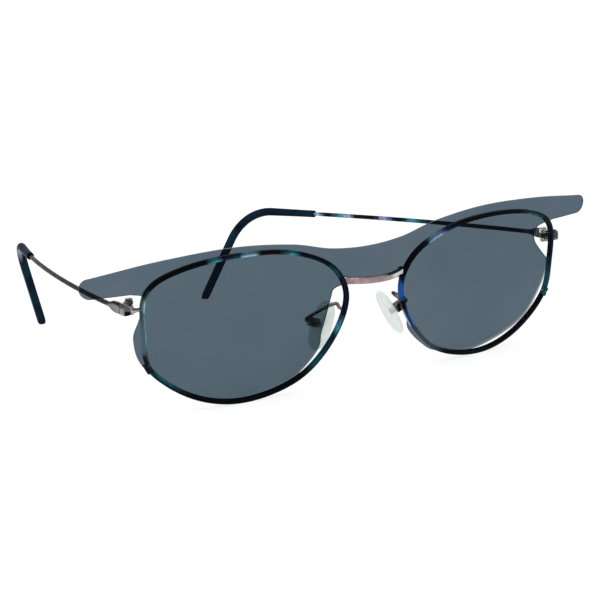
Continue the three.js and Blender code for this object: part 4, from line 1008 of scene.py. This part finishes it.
# Floor of matt white paper on a lit table: even and nearly without shadows
floor = {"half": 20000.0, "drop": 0.03, "colours": ("#7e7e7e", "#828282"), "cloud": 100 / 3, "lit": 0.8}
h, level = floor["half"] * mm, -floor["drop"] * mm
mesh = bpy.data.meshes.new("floor")
mesh.from_pydata([(-h, -h, level), (h, -h, level), (h, h, level), (-h, h, level)], [], [(0, 1, 2, 3)])
floorObject = bpy.data.objects.new("floor", mesh)
bpy.context.scene.collection.objects.link(floorObject)
floorObject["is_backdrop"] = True
floorMaterial, tree, place = newMaterial("matt white studio paper")
fibre = addNode(tree, "TexNoise", {"Scale": blobs(floor["cloud"])}, {"Vector": place.outputs["Object"]})
tone = addNode(tree, "ValToRGB", {"stops": noiseStops(floor["colours"])}, {"Fac": fibre})
paper = addNode(tree, "BsdfDiffuse", {}, {"Color": tone})
lit = addNode(tree, "Emission", {"Strength": floor["lit"], "Color": (1, 1, 1, 1)})
setSurface(tree, addNode(tree, "AddShader", {}, {0: paper, 1: lit}))
mesh.materials.append(floorMaterial)

# The studio is white all round and dim straight above, which gives polished metal something dark to reflect
studio = [(0.0, "#ffffff"), (0.62, "#ffffff"), (0.95, "#7a7a7a")]
world = bpy.data.worlds.new("studio")
bpy.context.scene.world = world
world.use_nodes = True
tree = world.node_tree
tree.nodes.clear()
place = addNode(tree, "TexCoord")
split = addNode(tree, "SeparateXYZ", {}, {"Vector": place.outputs["Generated"]})
glow = addNode(tree, "ValToRGB", {"stops": studio}, {"Fac": split.outputs["Z"]})
sky = addNode(tree, "Background", {"Strength": 1.0}, {"Color": glow})
addNode(tree, "OutputWorld", {}, {"Surface": sky})

# Two wide lamps far away
lamps = {"key": {"strength": 1.6, "spread": 50, "azimuth": -60, "height": 66},
         "fill": {"strength": 0.5, "spread": 70, "azimuth": 150, "height": 55}}
for name, lamp in lamps.items():
    light = bpy.data.lights.new(name, "SUN")
    light.energy = lamp["strength"]
    light.angle = np.radians(lamp["spread"])
    lightObject = bpy.data.objects.new(name, light)
    way = Vector(towards(lamp["azimuth"], lamp["height"]))
    lightObject.rotation_euler = way.to_track_quat("Z", "Y").to_euler()
    bpy.context.scene.collection.objects.link(lightObject)

# The camera at the photograph's angle
view = {"azimuth": -32.22, "elevation": 11.8, "roll": -3.02, "distance": 425.0, "aim": (-20.16, 0.0, 4.66),
        "focal": 108.92, "sensor": 36, "clip": (0.01, 100)}
camera = bpy.data.cameras.new("camera")
camera.lens = view["focal"]
camera.sensor_width = view["sensor"]
camera.clip_start, camera.clip_end = view["clip"]
cameraObject = bpy.data.objects.new("camera", camera)
bpy.context.scene.collection.objects.link(cameraObject)
away = towards(view["azimuth"], view["elevation"])
level = unit(np.cross(-away, [0, 0, 1]))
upright = np.cross(level, -away)
roll = np.radians(view["roll"])
right = np.cos(roll) * level + np.sin(roll) * upright
above = -np.sin(roll) * level + np.cos(roll) * upright
at = (np.array(view["aim"]) + origin + away * view["distance"]) * mm
turned = Matrix(np.stack([right, above, away], 1).tolist()).to_4x4()
cameraObject.matrix_world = Matrix.Translation(at.tolist()) @ turned
bpy.context.scene.camera = cameraObject
bpy.context.scene.view_settings.view_transform = "Standard"
print("stage set")

low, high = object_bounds()
